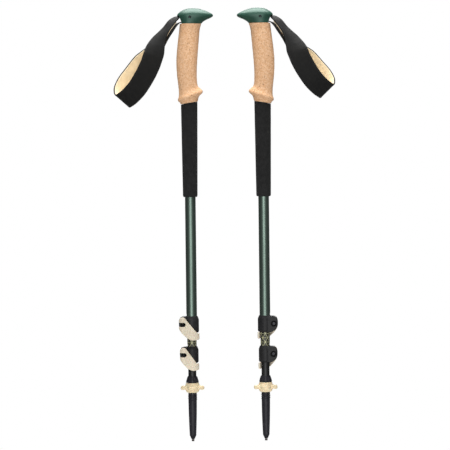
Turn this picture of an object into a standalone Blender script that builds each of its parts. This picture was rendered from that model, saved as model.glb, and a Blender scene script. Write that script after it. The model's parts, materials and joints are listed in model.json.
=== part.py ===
"""A pair of three-section trekking poles, standing side by side.

Each pole has a cork grip under a moulded cap, a foam sleeve, three telescoping tubes locked by two lever
clamps, a padded wrist strap, and a plastic tip with a screw-on basket and a carbide point.

Axes: +Z up. In a pole's own frame the beak of the cap is at +X, the strap at -X and the clamp levers at -Y,
and heights are measured up from the point of the tip. The right pole is turned half round, so its beak faces
the left pole's. The origin of the whole object is where a hand holds the left pole.
"""

import math

import bmesh
import bpy
from mathutils import Matrix, Vector

MM = 0.001
GAP = 0.35 * MM  # between two pieces that touch on the real object
CUT = 40 * MM  # a cutter runs this far from its middle, which is clear of every piece that it cuts
ROUND = 20  # flats round a turned piece
FINE_ROUND = 28
COARSE_ROUND = 16
SMALL_ROUND = 12

# The pair
POLE_SPACING = 110 * MM
HOLD_HEIGHT = 570 * MM  # middle of the cork, above the point of the tip

# Tubes: outer radius, bottom and top, with the pole pushed in
TUBE_WALL = 0.65 * MM
TUBE_SLOT = 23.5 * MM  # up from the foot of each clamped tube, to just above its clamp
RELIEF_HOLE_R = 2.6 * MM
UPPER_TUBE = (8.0 * MM, 166.5 * MM, 620 * MM)
MIDDLE_TUBE = (7.0 * MM, 121 * MM, 612 * MM)
LOWER_TUBE = (6.0 * MM, 78.5 * MM, 598 * MM)
PLUG_DEPTH = 7 * MM
PLUG_FLANGE = 1.6 * MM
PLUG_WALL = 1.2 * MM

# Clamps: the height of each one's middle
UPPER_CLAMP_HEIGHT = 176.1 * MM
LOWER_CLAMP_HEIGHT = 130.6 * MM
COLLAR_HEIGHT = 25.2 * MM
COLLAR_WALL = 2.45 * MM
COLLAR_LIP = 2.4 * MM  # the narrow rim at the bottom, which stops the outer tube
EAR_FRONT = 4.8 * MM  # from the pole's axis to the face that the cam presses
EAR_REACH = 9.0 * MM  # from the collar's round to the end of the ears
EAR_SLIT = 1.4 * MM
CAM_PIN_R = 2.5 * MM
CAM_PIN_LENGTH = 18 * MM
CAM_R = 5.9 * MM
CAM_OFFSET = 0.5 * MM  # of the cam's round from its pin, towards the ear when shut
PIN_OUTSET = 2.4 * MM  # of the cam pin and the screw, from the collar's round
LEVER_THICKNESS = 2.7 * MM
LEVER_SLOT_HEIGHT = 6.4 * MM
# The middle of the lever's blade in plan: the angle round the pole, and millimetres beyond the collar's round
LEVER_CURL = (
    (-100, 2.4),
    (-84, 2.3),
    (-70, 2.15),
    (-56, 2.15),
    (-42, 1.6),
    (-26, 0.3),
    (-10, -0.7),
    (4, -0.9),
)
SCREW_R = 1.45 * MM
SCREW_HEAD_R = 3.4 * MM
SCREW_HEAD_DEPTH = 3.0 * MM
SCREW_HEAD_SEAT = 5.8 * MM  # from the pole's axis to the underside of the head
HEX_KEY_R = 1.75 * MM
HEX_KEY_DEPTH = 1.8 * MM

# Grip
CORK_BORE = 10.4 * MM
CORE_R = 10.0 * MM
CORE_BOTTOM, CORE_TOP = 511 * MM, 625.8 * MM
CORE_ROOF = 4.4 * MM
CAP_BOTTOM = 626.6 * MM
FOAM_BOTTOM = 367 * MM
FOAM_BOTTOM_R, FOAM_TOP_R = 11.0 * MM, 12.4 * MM
FOAM_EDGE = 2.5 * MM

# Strap and its anchor in the cap
STRAP_THICKNESS = 1.5 * MM
LINING_THICKNESS = 2.0 * MM
LINING_MARGIN = 0.9 * MM  # the webbing shows past the lining by this much on each edge
STRAP_ROWS = 52
ANCHOR_WIDTH = 16 * MM
STRAP_PIN_R = 1.6 * MM
STRAP_PIN_LENGTH = 29.4 * MM
STRAP_PIN_X, STRAP_PIN_HEIGHT = 2.5 * MM, 635.5 * MM
POCKET_WIDTH = 17.4 * MM
POCKET_FRONT, POCKET_ROOF = 6.8 * MM, 639.5 * MM
WEDGE_WIDTH = 15.4 * MM
STRAP_HINGE = Vector((-16.1, 0, 635.4)) * MM  # where the webbing bends at the slot's upper lip

# Tip and basket
BASKET_TOP, BASKET_BOTTOM = 88.0 * MM, 73.3 * MM
BASKET_BORE = 7.3 * MM
BASKET_LOBES = 4
BASKET_LOBE_HEIGHTS = (78.0 * MM, 82.4 * MM)
BASKET_REACH, BASKET_NOTCH = 18.0 * MM, 11.2 * MM
FERRULE_THREAD_R = 6.9 * MM
FERRULE_CORE_R = 6.45 * MM

# Cork sections: front height and reach, back height and reach, half width, all in millimetres
CORK_SECTIONS = (
    (626.2, 18.3, 626.2, 13.4, 14.7),
    (617, 16.6, 617, 14.0, 14.4),
    (605, 15.8, 605, 15.2, 14.6),
    (588, 14.3, 588, 17.3, 14.9),
    (570, 12.8, 570, 18.5, 15.1),
    (554, 12.0, 553, 18.0, 14.8),
    (541, 12.2, 537, 16.4, 14.2),
    (533, 13.5, 525, 15.2, 14.1),
    (528.5, 18.0, 517, 15.4, 15.4),
    (525, 20.4, 511.8, 16.4, 16.7),
    (521.5, 18.0, 509.6, 15.4, 15.6),
    (517, 14.8, 508, 13.8, 14.0),
    (510, 12.8, 506, 12.7, 12.9),
)
FOAM_TOP_FRONT, FOAM_TOP_BACK = 509.5 * MM, 505.5 * MM

# Cap sections: height, front reach, back reach, half width, station of the widest point, in millimetres
CAP_SECTIONS = (
    (626.6, 19.0, 13.3, 14.8, 1),
    (629, 20.8, 13.5, 15.0, 1),
    (632, 24.3, 14.2, 15.4, 1),
    (635, 31.0, 15.7, 16.0, 1),
    (637.3, 36.4, 16.8, 16.3, 1),
    (639.4, 37.4, 16.8, 16.2, 1),
    (642, 34.8, 15.0, 15.2, 2),
    (645, 29.5, 11.4, 12.7, 3),
    (647.6, 22.3, 6.4, 8.8, 4),
    (649.5, 14.5, 0.5, 4.2, 6),
)

# Strap stations along the loop, from the cap's slot round to the slot again: the middle of the webbing
# (x, y, z) and its width in millimetres, then how far its width direction turns from across the pole (-Y) to
# forward and down, and the slope of that second direction in the side view, both in degrees
STRAP_STATIONS = (
    (-16.1, 0, 635.4, 16, 3, 56),
    (-20, -0.8, 633.2, 16, 22, 50),
    (-26, -2.5, 627.7, 16, 40, 42),
    (-33.2, -4, 618.2, 16, 45, 36),
    (-39, -6, 610.5, 17, 62, 26),
    (-44.3, -8.5, 602.8, 21, 82, 16),
    (-48, -12, 593.5, 26.5, 98, 16),
    (-50.5, -14.5, 585, 31, 108, 17),
    (-53, -16.5, 577, 32.5, 114, 20),
    (-57.5, -18, 564.5, 32.5, 114, 26),
    (-65, -18.5, 549.5, 32.5, 114, 33),
    (-76, -16.5, 532, 32, 114, 38),
    (-87.5, -12, 519.5, 31.5, 114, 41),
    (-95.8, -6.5, 513.4, 31, 114, 42),
    (-100, 0, 512, 31, 114, 42),
    (-102, 7, 516.3, 31, 114, 41),
    (-101.5, 12.5, 524.6, 31, 114, 40),
    (-95.5, 17, 537.5, 31.5, 114, 40),
    (-84, 19, 552.5, 32, 114, 40),
    (-71, 17.5, 568.5, 32, 114, 41),
    (-63, 14.8, 575.8, 30, 113, 42),
    (-56, 12.5, 582, 27, 107, 42),
    (-49, 10, 589.5, 22, 92, 42),
    (-42.5, 7.5, 597.5, 18, 68, 41),
    (-36.2, 5, 605.6, 16.5, 42, 41),
    (-30.5, 3, 611.8, 16, 24, 42),
    (-24.8, 1.5, 618, 16, 15, 47),
    (-18.8, 0.4, 624.2, 16, 10, 54),
    (-13.5, 0, 627.9, 16, 4, 60),
)
LINING_ROWS = (2, 42)  # of the strap's rows, from the slot
# The two straps hang a little differently below their necks. Each pose lifts the loop, shortens it along its
# length, spreads it across the pole and rolls it about its length; the angles are in degrees
STRAP_NECK = Vector((-35, 0, 602))
STRAP_LENGTHWISE = Vector((-65, 0, -90)).normalized()
STRAP_FADE = 35  # millimetres below the neck at which the pose is complete
STRAP_POSES = {
    "left": {"lift": 0, "length": 1, "spread": 1, "roll": 0},
    "right": {"lift": 5, "length": 0.88, "spread": 1.12, "roll": 6},
}


# --- Building blocks -----------------------------------------------------------------------------------


def temporary(mesh):
    obj = bpy.data.objects.new("working", mesh)
    bpy.context.scene.collection.objects.link(obj)
    return obj


def finished(obj):
    """The object's mesh with its modifiers and placing applied, welded and facing out. It is then removed."""
    bpy.context.view_layer.update()
    graph = bpy.context.evaluated_depsgraph_get()
    mesh = bpy.data.meshes.new_from_object(obj.evaluated_get(graph))
    mesh.transform(obj.matrix_world)
    bpy.data.objects.remove(obj)
    bm = bmesh.new()
    bm.from_mesh(mesh)
    bmesh.ops.remove_doubles(bm, verts=bm.verts, dist=0.001 * MM)
    bmesh.ops.recalc_face_normals(bm, faces=bm.faces)
    bm.to_mesh(mesh)
    bm.free()
    return mesh


def boolean(operation, mesh, *others):
    for other in others:
        target, tool = temporary(mesh), temporary(other)
        modifier = target.modifiers.new("boolean", "BOOLEAN")
        modifier.operation = operation
        modifier.object = tool
        mesh = finished(target)
        bpy.data.objects.remove(tool)
    return mesh


def cut(mesh, *cutters):
    return boolean("DIFFERENCE", mesh, *cutters)


def cylinder(radius, low, high, axis="Z", centre=(0, 0), segments=ROUND):
    """A cylinder from low to high along an axis. centre is its place on the other two, in X, Y, Z order."""
    turns = {"X": Matrix.Rotation(math.pi / 2, 4, "Y"), "Y": Matrix.Rotation(math.pi / 2, 4, "X")}
    place = list(centre)
    place.insert("XYZ".index(axis), (low + high) / 2)
    bm = bmesh.new()
    sizes = {"radius1": radius, "radius2": radius, "depth": high - low}
    bmesh.ops.create_cone(bm, cap_ends=True, segments=segments, **sizes)
    bmesh.ops.transform(bm, matrix=Matrix.Translation(place) @ turns.get(axis, Matrix()), verts=bm.verts)
    mesh = bpy.data.meshes.new("cylinder")
    bm.to_mesh(mesh)
    bm.free()
    return mesh


def box(low, high):
    low, high = Vector(low), Vector(high)
    bm = bmesh.new()
    bmesh.ops.create_cube(bm, size=1)
    bmesh.ops.transform(bm, matrix=Matrix.Diagonal((*(high - low), 1)), verts=bm.verts)
    bmesh.ops.translate(bm, vec=(low + high) / 2, verts=bm.verts)
    mesh = bpy.data.meshes.new("box")
    bm.to_mesh(mesh)
    bm.free()
    return mesh


def turned(profile, closed=False, segments=ROUND):
    """A shape of revolution about Z from (radius, height) points that run down its outer side."""
    edges = [(i, i + 1) for i in range(len(profile) - 1)]
    if closed:
        edges.append((len(profile) - 1, 0))
    wire = bpy.data.meshes.new("profile")
    wire.from_pydata([(r, 0, z) for r, z in profile], edges, [])
    obj = temporary(wire)
    screw = obj.modifiers.new("turn", "SCREW")
    screw.axis = "Z"
    screw.steps = screw.render_steps = segments
    screw.use_merge_vertices = True
    screw.merge_threshold = 0.001 * MM
    return finished(obj)


def tube(outer, inner, low, high):
    return turned([(outer, high), (outer, low), (inner, low), (inner, high)], closed=True)


def plate(outline, low, high, plane="XY"):
    """A flat outline, given in plane XY or XZ, made solid from low to high along the third axis."""
    curve = bpy.data.curves.new("outline", "CURVE")
    curve.dimensions = "2D"
    curve.fill_mode = "BOTH"
    curve.extrude = (high - low) / 2
    spline = curve.splines.new("POLY")
    spline.points.add(len(outline) - 1)
    for point, (a, b) in zip(spline.points, outline):
        point.co = (a, b, 0, 1)
    spline.use_cyclic_u = True
    obj = temporary(curve)
    middle = (low + high) / 2
    if plane == "XY":
        obj.matrix_world = Matrix.Translation((0, 0, middle))
    else:
        obj.matrix_world = Matrix.Translation((0, middle, 0)) @ Matrix.Rotation(math.pi / 2, 4, "X")
    return finished(obj)


def arc(centre, radius, start, end, steps):
    """Points on a circle from one angle to another, in degrees."""
    angles = [math.radians(start + (end - start) * i / steps) for i in range(steps + 1)]
    return [(centre[0] + radius * math.cos(a), centre[1] + radius * math.sin(a)) for a in angles]


def polar(radius, degrees):
    return (radius * math.cos(math.radians(degrees)), radius * math.sin(math.radians(degrees)))


def egg_ring(front, back, half_width, front_height, back_height, widest=0.0):
    """An egg-shaped ring. It reaches front along +X and back along -X, and leans between two heights."""
    points = []
    for i in range(ROUND):
        a = 2 * math.pi * i / ROUND
        reach = front - widest if math.cos(a) > 0 else back + widest
        x = widest + reach * math.cos(a)
        height = back_height + (front_height - back_height) * (x + back) / (front + back)
        points.append((x, half_width * math.sin(a), height))
    return points


def loft(rings, hollow=False):
    """A skin over rings of equally many points: capped at both ends or, if hollow, joined end to end."""
    mesh = bpy.data.meshes.new("loft")
    count = len(rings[0])
    pairs = [(i, i + 1) for i in range(len(rings) - 1)]
    if hollow:
        pairs.append((len(rings) - 1, 0))
    faces = []
    for a, b in pairs:
        for i in range(count):
            j = (i + 1) % count
            faces.append((a * count + i, a * count + j, b * count + j, b * count + i))
    if not hollow:
        faces.append(tuple(range(count)))
        faces.append(tuple((len(rings) - 1) * count + i for i in range(count)))
    mesh.from_pydata([point for ring in rings for point in ring], [], faces)
    return finished(temporary(mesh))


# --- Grip ----------------------------------------------------------------------------------------------


def bore_ring(radius, like):
    """The ring of a round bore that ends in the plane of another ring."""
    ring = []
    for i in range(ROUND):
        x, y = polar(radius, 360 * i / ROUND)
        ring.append((x, y, height_on(like, x)))
    return ring


def height_on(ring, x):
    """The height at x of the plane that a ring leans in."""
    front, back = ring[0], ring[ROUND // 2]
    return back[2] + (front[2] - back[2]) * (x - back[0]) / (front[0] - back[0])


def cork_grip():
    rings = []
    for front_height, front, back_height, back, half_width in CORK_SECTIONS:
        sizes = (front, back, half_width, front_height, back_height)
        rings.append(egg_ring(*[size * MM for size in sizes]))
    return loft(rings + [bore_ring(CORK_BORE, rings[-1]), bore_ring(CORK_BORE, rings[0])], hollow=True)


def grip_core():
    """The plastic cup under the cork. The top tube ends in it, and its roof floors the strap's pocket."""
    bore = UPPER_TUBE[0] + GAP
    roof = CORE_TOP - CORE_ROOF
    outside = [(0, CORE_TOP), (CORE_R, CORE_TOP), (CORE_R, CORE_BOTTOM)]
    return turned(outside + [(bore, CORE_BOTTOM), (bore, roof), (0, roof)])


def foam_sleeve():
    bore = UPPER_TUBE[0] + GAP
    top = egg_ring(FOAM_TOP_R, FOAM_TOP_R, FOAM_TOP_R, FOAM_TOP_FRONT, FOAM_TOP_BACK)

    def level(radius, height):
        return egg_ring(radius, radius, radius, height, height)

    rings = [
        top,
        level(FOAM_BOTTOM_R, FOAM_BOTTOM + FOAM_EDGE),
        level(FOAM_BOTTOM_R - 0.3 * FOAM_EDGE, FOAM_BOTTOM + 0.3 * FOAM_EDGE),
        level(FOAM_BOTTOM_R - FOAM_EDGE / 2, FOAM_BOTTOM),
        level(bore, FOAM_BOTTOM),
        bore_ring(bore, top),
    ]
    return loft(rings, hollow=True)


def grip_cap():
    """The moulded cap, with the pocket that takes the strap's anchor and a cross hole for the strap's pin."""
    rings = []
    for height, front, back, half_width, widest in CAP_SECTIONS:
        sizes = (front, back, half_width, height, height, widest)
        rings.append(egg_ring(*[size * MM for size in sizes]))
    half = POCKET_WIDTH / 2
    pocket = box((-25 * MM, -half, CAP_BOTTOM - 2 * MM), (POCKET_FRONT, half, POCKET_ROOF))
    place = (STRAP_PIN_X, STRAP_PIN_HEIGHT)
    cross_hole = cylinder(STRAP_PIN_R + GAP, -CUT, CUT, "Y", place, segments=SMALL_ROUND)
    return cut(loft(rings), pocket, cross_hole)


def strap_pin():
    half = STRAP_PIN_LENGTH / 2
    return cylinder(STRAP_PIN_R, -half, half, "Y", (STRAP_PIN_X, STRAP_PIN_HEIGHT), segments=SMALL_ROUND)


def strap_anchor():
    """The end of the webbing inside the cap: in over the wedge, round the cross pin, out under the wedge."""
    bend = STRAP_PIN_R + GAP + STRAP_THICKNESS / 2
    path = [(-15.0 * MM, 636.0 * MM), (-10 * MM, 637.6 * MM), (-5 * MM, 638.2 * MM)]
    path += arc((STRAP_PIN_X, STRAP_PIN_HEIGHT), bend, 90, -90, 8)
    path += [(-5 * MM, 629.9 * MM), (-12.4 * MM, 627.7 * MM)]
    half = ANCHOR_WIDTH / 2
    points = [(x, side * half, z) for x, z in path for side in (-1, 1)]
    faces = [(2 * i, 2 * i + 1, 2 * i + 3, 2 * i + 2) for i in range(len(path) - 1)]
    sheet = bpy.data.meshes.new("anchor")
    sheet.from_pydata(points, [], faces)
    return thickened(sheet, STRAP_THICKNESS)


def strap_wedge():
    """The block between the two runs of webbing. Pulled back, it lets the webbing slip round the pin."""
    outline = [(-1.5, 632.5), (-1.5, 636.3), (-9.5, 635.6), (-9.5, 629.9)]
    half = WEDGE_WIDTH / 2
    return plate([(x * MM, z * MM) for x, z in outline], -half, half, "XZ")


# --- Strap ---------------------------------------------------------------------------------------------


def thickened(sheet, thickness):
    obj = temporary(sheet)
    solidify = obj.modifiers.new("thickness", "SOLIDIFY")
    solidify.thickness = thickness
    solidify.offset = 0
    return finished(obj)


def strap_station(share):
    """The strap's station at a share of its length, smoothly between the listed ones (Catmull-Rom)."""
    last = len(STRAP_STATIONS) - 1
    place = min(share * last, last - 1e-9)
    i = int(place)
    t = place - i
    before, start, end, after = (STRAP_STATIONS[min(max(k, 0), last)] for k in (i - 1, i, i + 1, i + 2))
    values = []
    for a, b, c, d in zip(before, start, end, after):
        values.append(b + 0.5 * t * (c - a + t * (2 * a - 5 * b + 4 * c - d + t * (3 * (b - c) + d - a))))
    return values


def posed_station(share, pose):
    """The middle, the direction of the width, and the width of the strap at a share of its length."""
    x, y, z, width, turn, slope = strap_station(share)
    sideways = STRAP_LENGTHWISE.cross(Vector((0, 1, 0)))
    offset = Vector((x, y, z)) - STRAP_NECK
    along, across = offset.dot(STRAP_LENGTHWISE), offset.dot(sideways)
    fade = min(max(along / STRAP_FADE, 0), 1)
    fade *= fade * (3 - 2 * fade)

    along *= 1 + (pose["length"] - 1) * fade
    y *= 1 + (pose["spread"] - 1) * fade
    roll = Matrix.Rotation(math.radians(pose["roll"] * fade), 3, STRAP_LENGTHWISE)
    lift = Matrix.Rotation(math.radians(pose["lift"] * fade), 3, "Y")
    offset = along * STRAP_LENGTHWISE + across * sideways + Vector((0, y, 0))

    turn, slope = math.radians(turn), math.radians(slope)
    widthwise = Vector((math.cos(slope) * math.sin(turn), -math.cos(turn), -math.sin(slope) * math.sin(turn)))
    return STRAP_NECK + lift @ roll @ offset, lift @ roll @ widthwise, width


def strap_layer(side, first, last, thickness, inset, margin):
    """One layer of a side's strap, between two of its rows and set in from the webbing's middle."""
    pose = STRAP_POSES[side]
    bm = bmesh.new()
    bmesh.ops.create_grid(bm, x_segments=1, y_segments=last - first, size=1)
    step = 0.002
    for vertex in bm.verts:
        row = first + round((last - first) * (vertex.co.y + 1) / 2)
        share = row / STRAP_ROWS
        middle, widthwise, width = posed_station(share, pose)
        run = posed_station(min(share + step, 1), pose)[0] - posed_station(max(share - step, 0), pose)[0]
        inward = widthwise.cross(run).normalized()
        point = middle * MM + widthwise * vertex.co.x * (width * MM / 2 - margin) + inward * inset
        if side == "right":
            point.y = -point.y
        vertex.co = point
    sheet = bpy.data.meshes.new("strap")
    bm.to_mesh(sheet)
    bm.free()
    return thickened(sheet, thickness)


def strap_webbing(side):
    return strap_layer(side, 0, STRAP_ROWS, STRAP_THICKNESS, 0, 0)


def strap_lining(side):
    inset = (STRAP_THICKNESS + LINING_THICKNESS) / 2 + GAP
    return strap_layer(side, *LINING_ROWS, LINING_THICKNESS, inset, LINING_MARGIN)


# --- Clamp, in a frame with its middle on the pole's axis ----------------------------------------------


def collar_radius(tube_radius):
    return tube_radius + GAP + COLLAR_WALL


def cam_pin_place(tube_radius):
    """Where the cam pin stands, in plan: its cam just clears the front ear when the lever is shut."""
    x = -(collar_radius(tube_radius) + PIN_OUTSET)
    y = -(EAR_FRONT + GAP + CAM_R + CAM_OFFSET)
    return x, y


def clamp_collar(tube_radius, inner_tube_radius):
    """The split collar: a ring round the tube with two ears, which the screw and the cam draw together."""
    radius = collar_radius(tube_radius)
    end = -(radius + EAR_REACH)
    back = radius - 0.8 * MM
    corner = 3 * MM
    front_meets_ring = 180 + math.degrees(math.asin(EAR_FRONT / radius))
    back_meets_ring = 180 - math.degrees(math.asin(back / radius))
    plan = arc((0, 0), radius, front_meets_ring, 360 + back_meets_ring, 26)
    plan += arc((end + corner, back - corner), corner, 90, 180, 4)
    plan += arc((end + corner, corner - EAR_FRONT), corner, 180, 270, 4)
    half = COLLAR_HEIGHT / 2
    side_view = [(radius + 2 * MM, -half), (radius + 2 * MM, half)]
    side_view += arc((end + 6 * MM, half - 6 * MM), 6 * MM, 90, 180, 5)
    side_view += [(end, -2 * MM), (end + 1.2 * MM, -6 * MM)]
    side_view += [(end + 3.8 * MM, -9.2 * MM), (end + 10 * MM, -half)]
    body = boolean("INTERSECT", plate(plan, -half, half), plate(side_view, -CUT, CUT, "XZ"))

    screw_x = cam_pin_place(tube_radius)[0]
    bore = cylinder(tube_radius + GAP, COLLAR_LIP - half, CUT, segments=FINE_ROUND)
    lip_bore = cylinder(inner_tube_radius + GAP, -CUT, 0, segments=FINE_ROUND)
    slit = box((end - MM, -EAR_SLIT / 2, -CUT), (-inner_tube_radius, EAR_SLIT / 2, CUT))
    screw_hole = cylinder(SCREW_R + GAP, -CUT, CUT, "Y", (screw_x, 0), segments=SMALL_ROUND)
    counterbore = cylinder(SCREW_HEAD_R + GAP, SCREW_HEAD_SEAT - GAP, CUT, "Y", (screw_x, 0))
    return cut(body, bore, lip_bore, slit, screw_hole, counterbore)


def clamp_lever(tube_radius):
    """The cam lever, with its origin on the cam pin. Its blade lies across the collar and curls under it."""
    radius = collar_radius(tube_radius)
    pin_x, pin_y = cam_pin_place(tube_radius)
    cam_y = pin_y + CAM_OFFSET
    half_blade = LEVER_THICKNESS / 2
    blade = [(pin_x, cam_y - CAM_R + half_blade)]
    for degrees, beyond in LEVER_CURL:
        blade.append(polar(radius + beyond * MM, degrees))
    points = [(x, y, z) for x, y in blade for z in (-CUT, CUT)]
    faces = [(2 * i, 2 * i + 1, 2 * i + 3, 2 * i + 2) for i in range(len(blade) - 1)]
    sheet = bpy.data.meshes.new("blade")
    sheet.from_pydata(points, [], faces)
    cam = cylinder(CAM_R, -CUT, CUT, centre=(pin_x, cam_y))
    plan = boolean("UNION", thickened(sheet, LEVER_THICKNESS), cam)

    left, right = pin_x - CAM_R - 0.2 * MM, radius + 0.9 * MM
    outline = [(left, -4 * MM), (left, 7 * MM), (left + 1.4 * MM, 10.6 * MM), (left + 4.6 * MM, 12.4 * MM)]
    outline += [(left + 7.4 * MM, 11.4 * MM), (left + 9.2 * MM, 9.6 * MM)]
    outline += [(radius - 3.3 * MM, -12.3 * MM), (radius - 2.7 * MM, -13.1 * MM), (right, -13.3 * MM)]
    outline += arc((right - 2.4 * MM, -20.6 * MM), 2.4 * MM, 0, -80, 4)
    outline += [(0.5 * MM, -23.9 * MM), (-6.5 * MM, -20.6 * MM)]
    outline += [(left + 4.7 * MM, -12.9 * MM), (left + 0.9 * MM, -7.6 * MM)]
    lever = boolean("INTERSECT", plan, plate(outline, -CUT, CUT, "XZ"))

    half_slot = LEVER_SLOT_HEIGHT / 2
    slot = [(-CUT, half_slot), (-CUT, -half_slot)]
    slot += arc((pin_x + MM, 0), half_slot, -90, 90, 8)
    pin_bore = cylinder(CAM_PIN_R + GAP, -CUT, CUT, centre=(pin_x, pin_y))
    lever = cut(lever, plate(slot, -CUT, CUT, "XZ"), pin_bore)
    lever.transform(Matrix.Translation((-pin_x, -pin_y, 0)))
    return lever


def cam_pin():
    """The steel pin in the cam, with its origin on its axis. The clamp screw goes into its cross hole."""
    half = CAM_PIN_LENGTH / 2
    cross_hole = cylinder(SCREW_R + GAP, -CUT, CUT, "Y", segments=SMALL_ROUND)
    return cut(cylinder(CAM_PIN_R, -half, half, segments=COARSE_ROUND), cross_hole)


def clamp_screw(tube_radius):
    """The tension screw, with its origin on its axis at the pole's middle plane and its head at +Y."""
    end = cam_pin_place(tube_radius)[1] - 1.2 * MM
    head_top = SCREW_HEAD_SEAT + SCREW_HEAD_DEPTH
    profile = [
        (0, head_top),
        (SCREW_HEAD_R - 0.4 * MM, head_top),
        (SCREW_HEAD_R, head_top - 0.4 * MM),
        (SCREW_HEAD_R, SCREW_HEAD_SEAT),
        (SCREW_R, SCREW_HEAD_SEAT),
        (SCREW_R, end),
        (0, end),
    ]
    screw = turned(profile, segments=COARSE_ROUND)
    screw.transform(Matrix.Rotation(-math.pi / 2, 4, "X"))
    hex_key = cylinder(HEX_KEY_R, head_top - HEX_KEY_DEPTH, CUT, "Y", segments=6)
    return cut(screw, hex_key)


# --- Shafts, tip and basket ----------------------------------------------------------------------------


def plain_tube(size):
    radius, low, high = size
    return tube(radius, radius - TUBE_WALL, low, high)


def clamped_tube(size):
    """A tube with a slot at its foot that lets its clamp squeeze it. The slot ends in a round relief hole."""
    radius, low, _ = size
    half_slot = EAR_SLIT / 2
    reach = 2 * radius
    slot = box((-reach, -half_slot, low - 2 * MM), (0, half_slot, low + TUBE_SLOT))
    relief = cylinder(RELIEF_HOLE_R, -reach, 0, "X", (0, low + TUBE_SLOT), segments=SMALL_ROUND)
    return cut(plain_tube(size), slot, relief)


def end_plug(size, bore):
    """The plastic plug in a tube's top end: a flange on the rim and a spigot inside."""
    radius, _, top = size
    spigot = radius - TUBE_WALL - GAP
    rim = top + GAP
    profile = [
        (radius, rim + PLUG_FLANGE),
        (radius, rim),
        (spigot, rim),
        (spigot, top - PLUG_DEPTH),
        (bore, top - PLUG_DEPTH),
        (bore, rim + PLUG_FLANGE),
    ]
    return turned(profile, closed=True)


def middle_plug():
    return end_plug(MIDDLE_TUBE, MIDDLE_TUBE[0] - TUBE_WALL - GAP - PLUG_WALL)


def lower_plug():
    return end_plug(LOWER_TUBE, LOWER_TUBE[0] - TUBE_WALL - GAP - PLUG_WALL)


def tip_ferrule():
    """The plastic tip: a skirted socket for the lower tube, a thread for the basket, and a long taper."""
    bore = LOWER_TUBE[0] + GAP
    floor = LOWER_TUBE[1] - GAP
    points = [(0, floor), (bore, floor), (bore, 98 * MM), (7.4 * MM, 98 * MM), (8.6 * MM, 96.8 * MM)]
    points += [(9.3 * MM, 94 * MM), (9.9 * MM, 89.4 * MM), (9.7 * MM, 88.4 * MM), (FERRULE_CORE_R, 88.4 * MM)]
    for height in (69.2, 66.2, 63.2):
        points += [(FERRULE_CORE_R, (height + 0.7) * MM), (FERRULE_THREAD_R, height * MM)]
        points.append((FERRULE_CORE_R, (height - 0.7) * MM))
    points += [(6.3 * MM, 50 * MM), (5.95 * MM, 34 * MM), (5.5 * MM, 19 * MM), (4.9 * MM, 7.6 * MM)]
    points += [(2.5 * MM, 3.4 * MM), (1.5 * MM, 3.4 * MM), (1.5 * MM, 11 * MM), (0, 11 * MM)]
    return turned(points, segments=COARSE_ROUND)


def carbide_point():
    """The hard point: a shank set in the ferrule, and a short flat-ended nose."""
    profile = ((0, 10.6), (1.15, 10.6), (1.15, 3.0), (2.0, 3.0), (2.0, 0.5), (1.6, 0), (0, 0))
    return turned([(radius * MM, height * MM) for radius, height in profile], segments=COARSE_ROUND)


def basket():
    """The screw-on basket, with its origin on the pole's axis: a hub with four rounded lobes."""
    hub = [(BASKET_BORE, BASKET_TOP), (9.8 * MM, BASKET_TOP), (10.1 * MM, 84 * MM), (9.9 * MM, 79.5 * MM)]
    hub += [(9.1 * MM, 76.2 * MM), (7.9 * MM, BASKET_BOTTOM), (BASKET_BORE, BASKET_BOTTOM)]
    steps = 48
    middle, swing = (BASKET_REACH + BASKET_NOTCH) / 2, (BASKET_REACH - BASKET_NOTCH) / 2
    outline = []
    for i in range(steps):
        degrees = 360 * i / steps
        outline.append(polar(middle + swing * math.cos(BASKET_LOBES * math.radians(degrees)), degrees))
    lobes = cut(plate(outline, *BASKET_LOBE_HEIGHTS), cylinder(BASKET_BORE + MM, 0, BASKET_TOP))
    return boolean("UNION", turned(hub, closed=True), lobes)


# --- The pair ------------------------------------------------------------------------------------------

MATERIALS = {
    "cap_green": ((0.065, 0.120, 0.095), 0.35, 0.0),
    "cork": ((0.73, 0.44, 0.25), 0.85, 0.0),
    "foam_black": ((0.022, 0.022, 0.022), 0.9, 0.0),
    "anodised_green": ((0.09, 0.13, 0.11), 0.35, 0.8),
    "patterned_black": ((0.07, 0.07, 0.045), 0.4, 0.6),
    "anodised_black": ((0.03, 0.03, 0.032), 0.4, 0.6),
    "black_plastic": ((0.025, 0.025, 0.027), 0.55, 0.0),
    "cream_plastic": ((0.74, 0.65, 0.50), 0.5, 0.0),
    "basket_cream": ((0.86, 0.74, 0.52), 0.5, 0.0),
    "webbing_black": ((0.02, 0.02, 0.02), 0.85, 0.0),
    "lining_cream": ((0.78, 0.65, 0.43), 0.9, 0.0),
    "steel": ((0.35, 0.35, 0.36), 0.3, 1.0),
}


def make_materials():
    made = {}
    for name, (colour, roughness, metallic) in MATERIALS.items():
        material = bpy.data.materials.new(name)
        material.use_nodes = True
        shader = material.node_tree.nodes["Principled BSDF"]
        shader.inputs["Base Color"].default_value = (*colour, 1)
        shader.inputs["Roughness"].default_value = roughness
        shader.inputs["Metallic"].default_value = metallic
        made[name] = material
    return made


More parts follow.
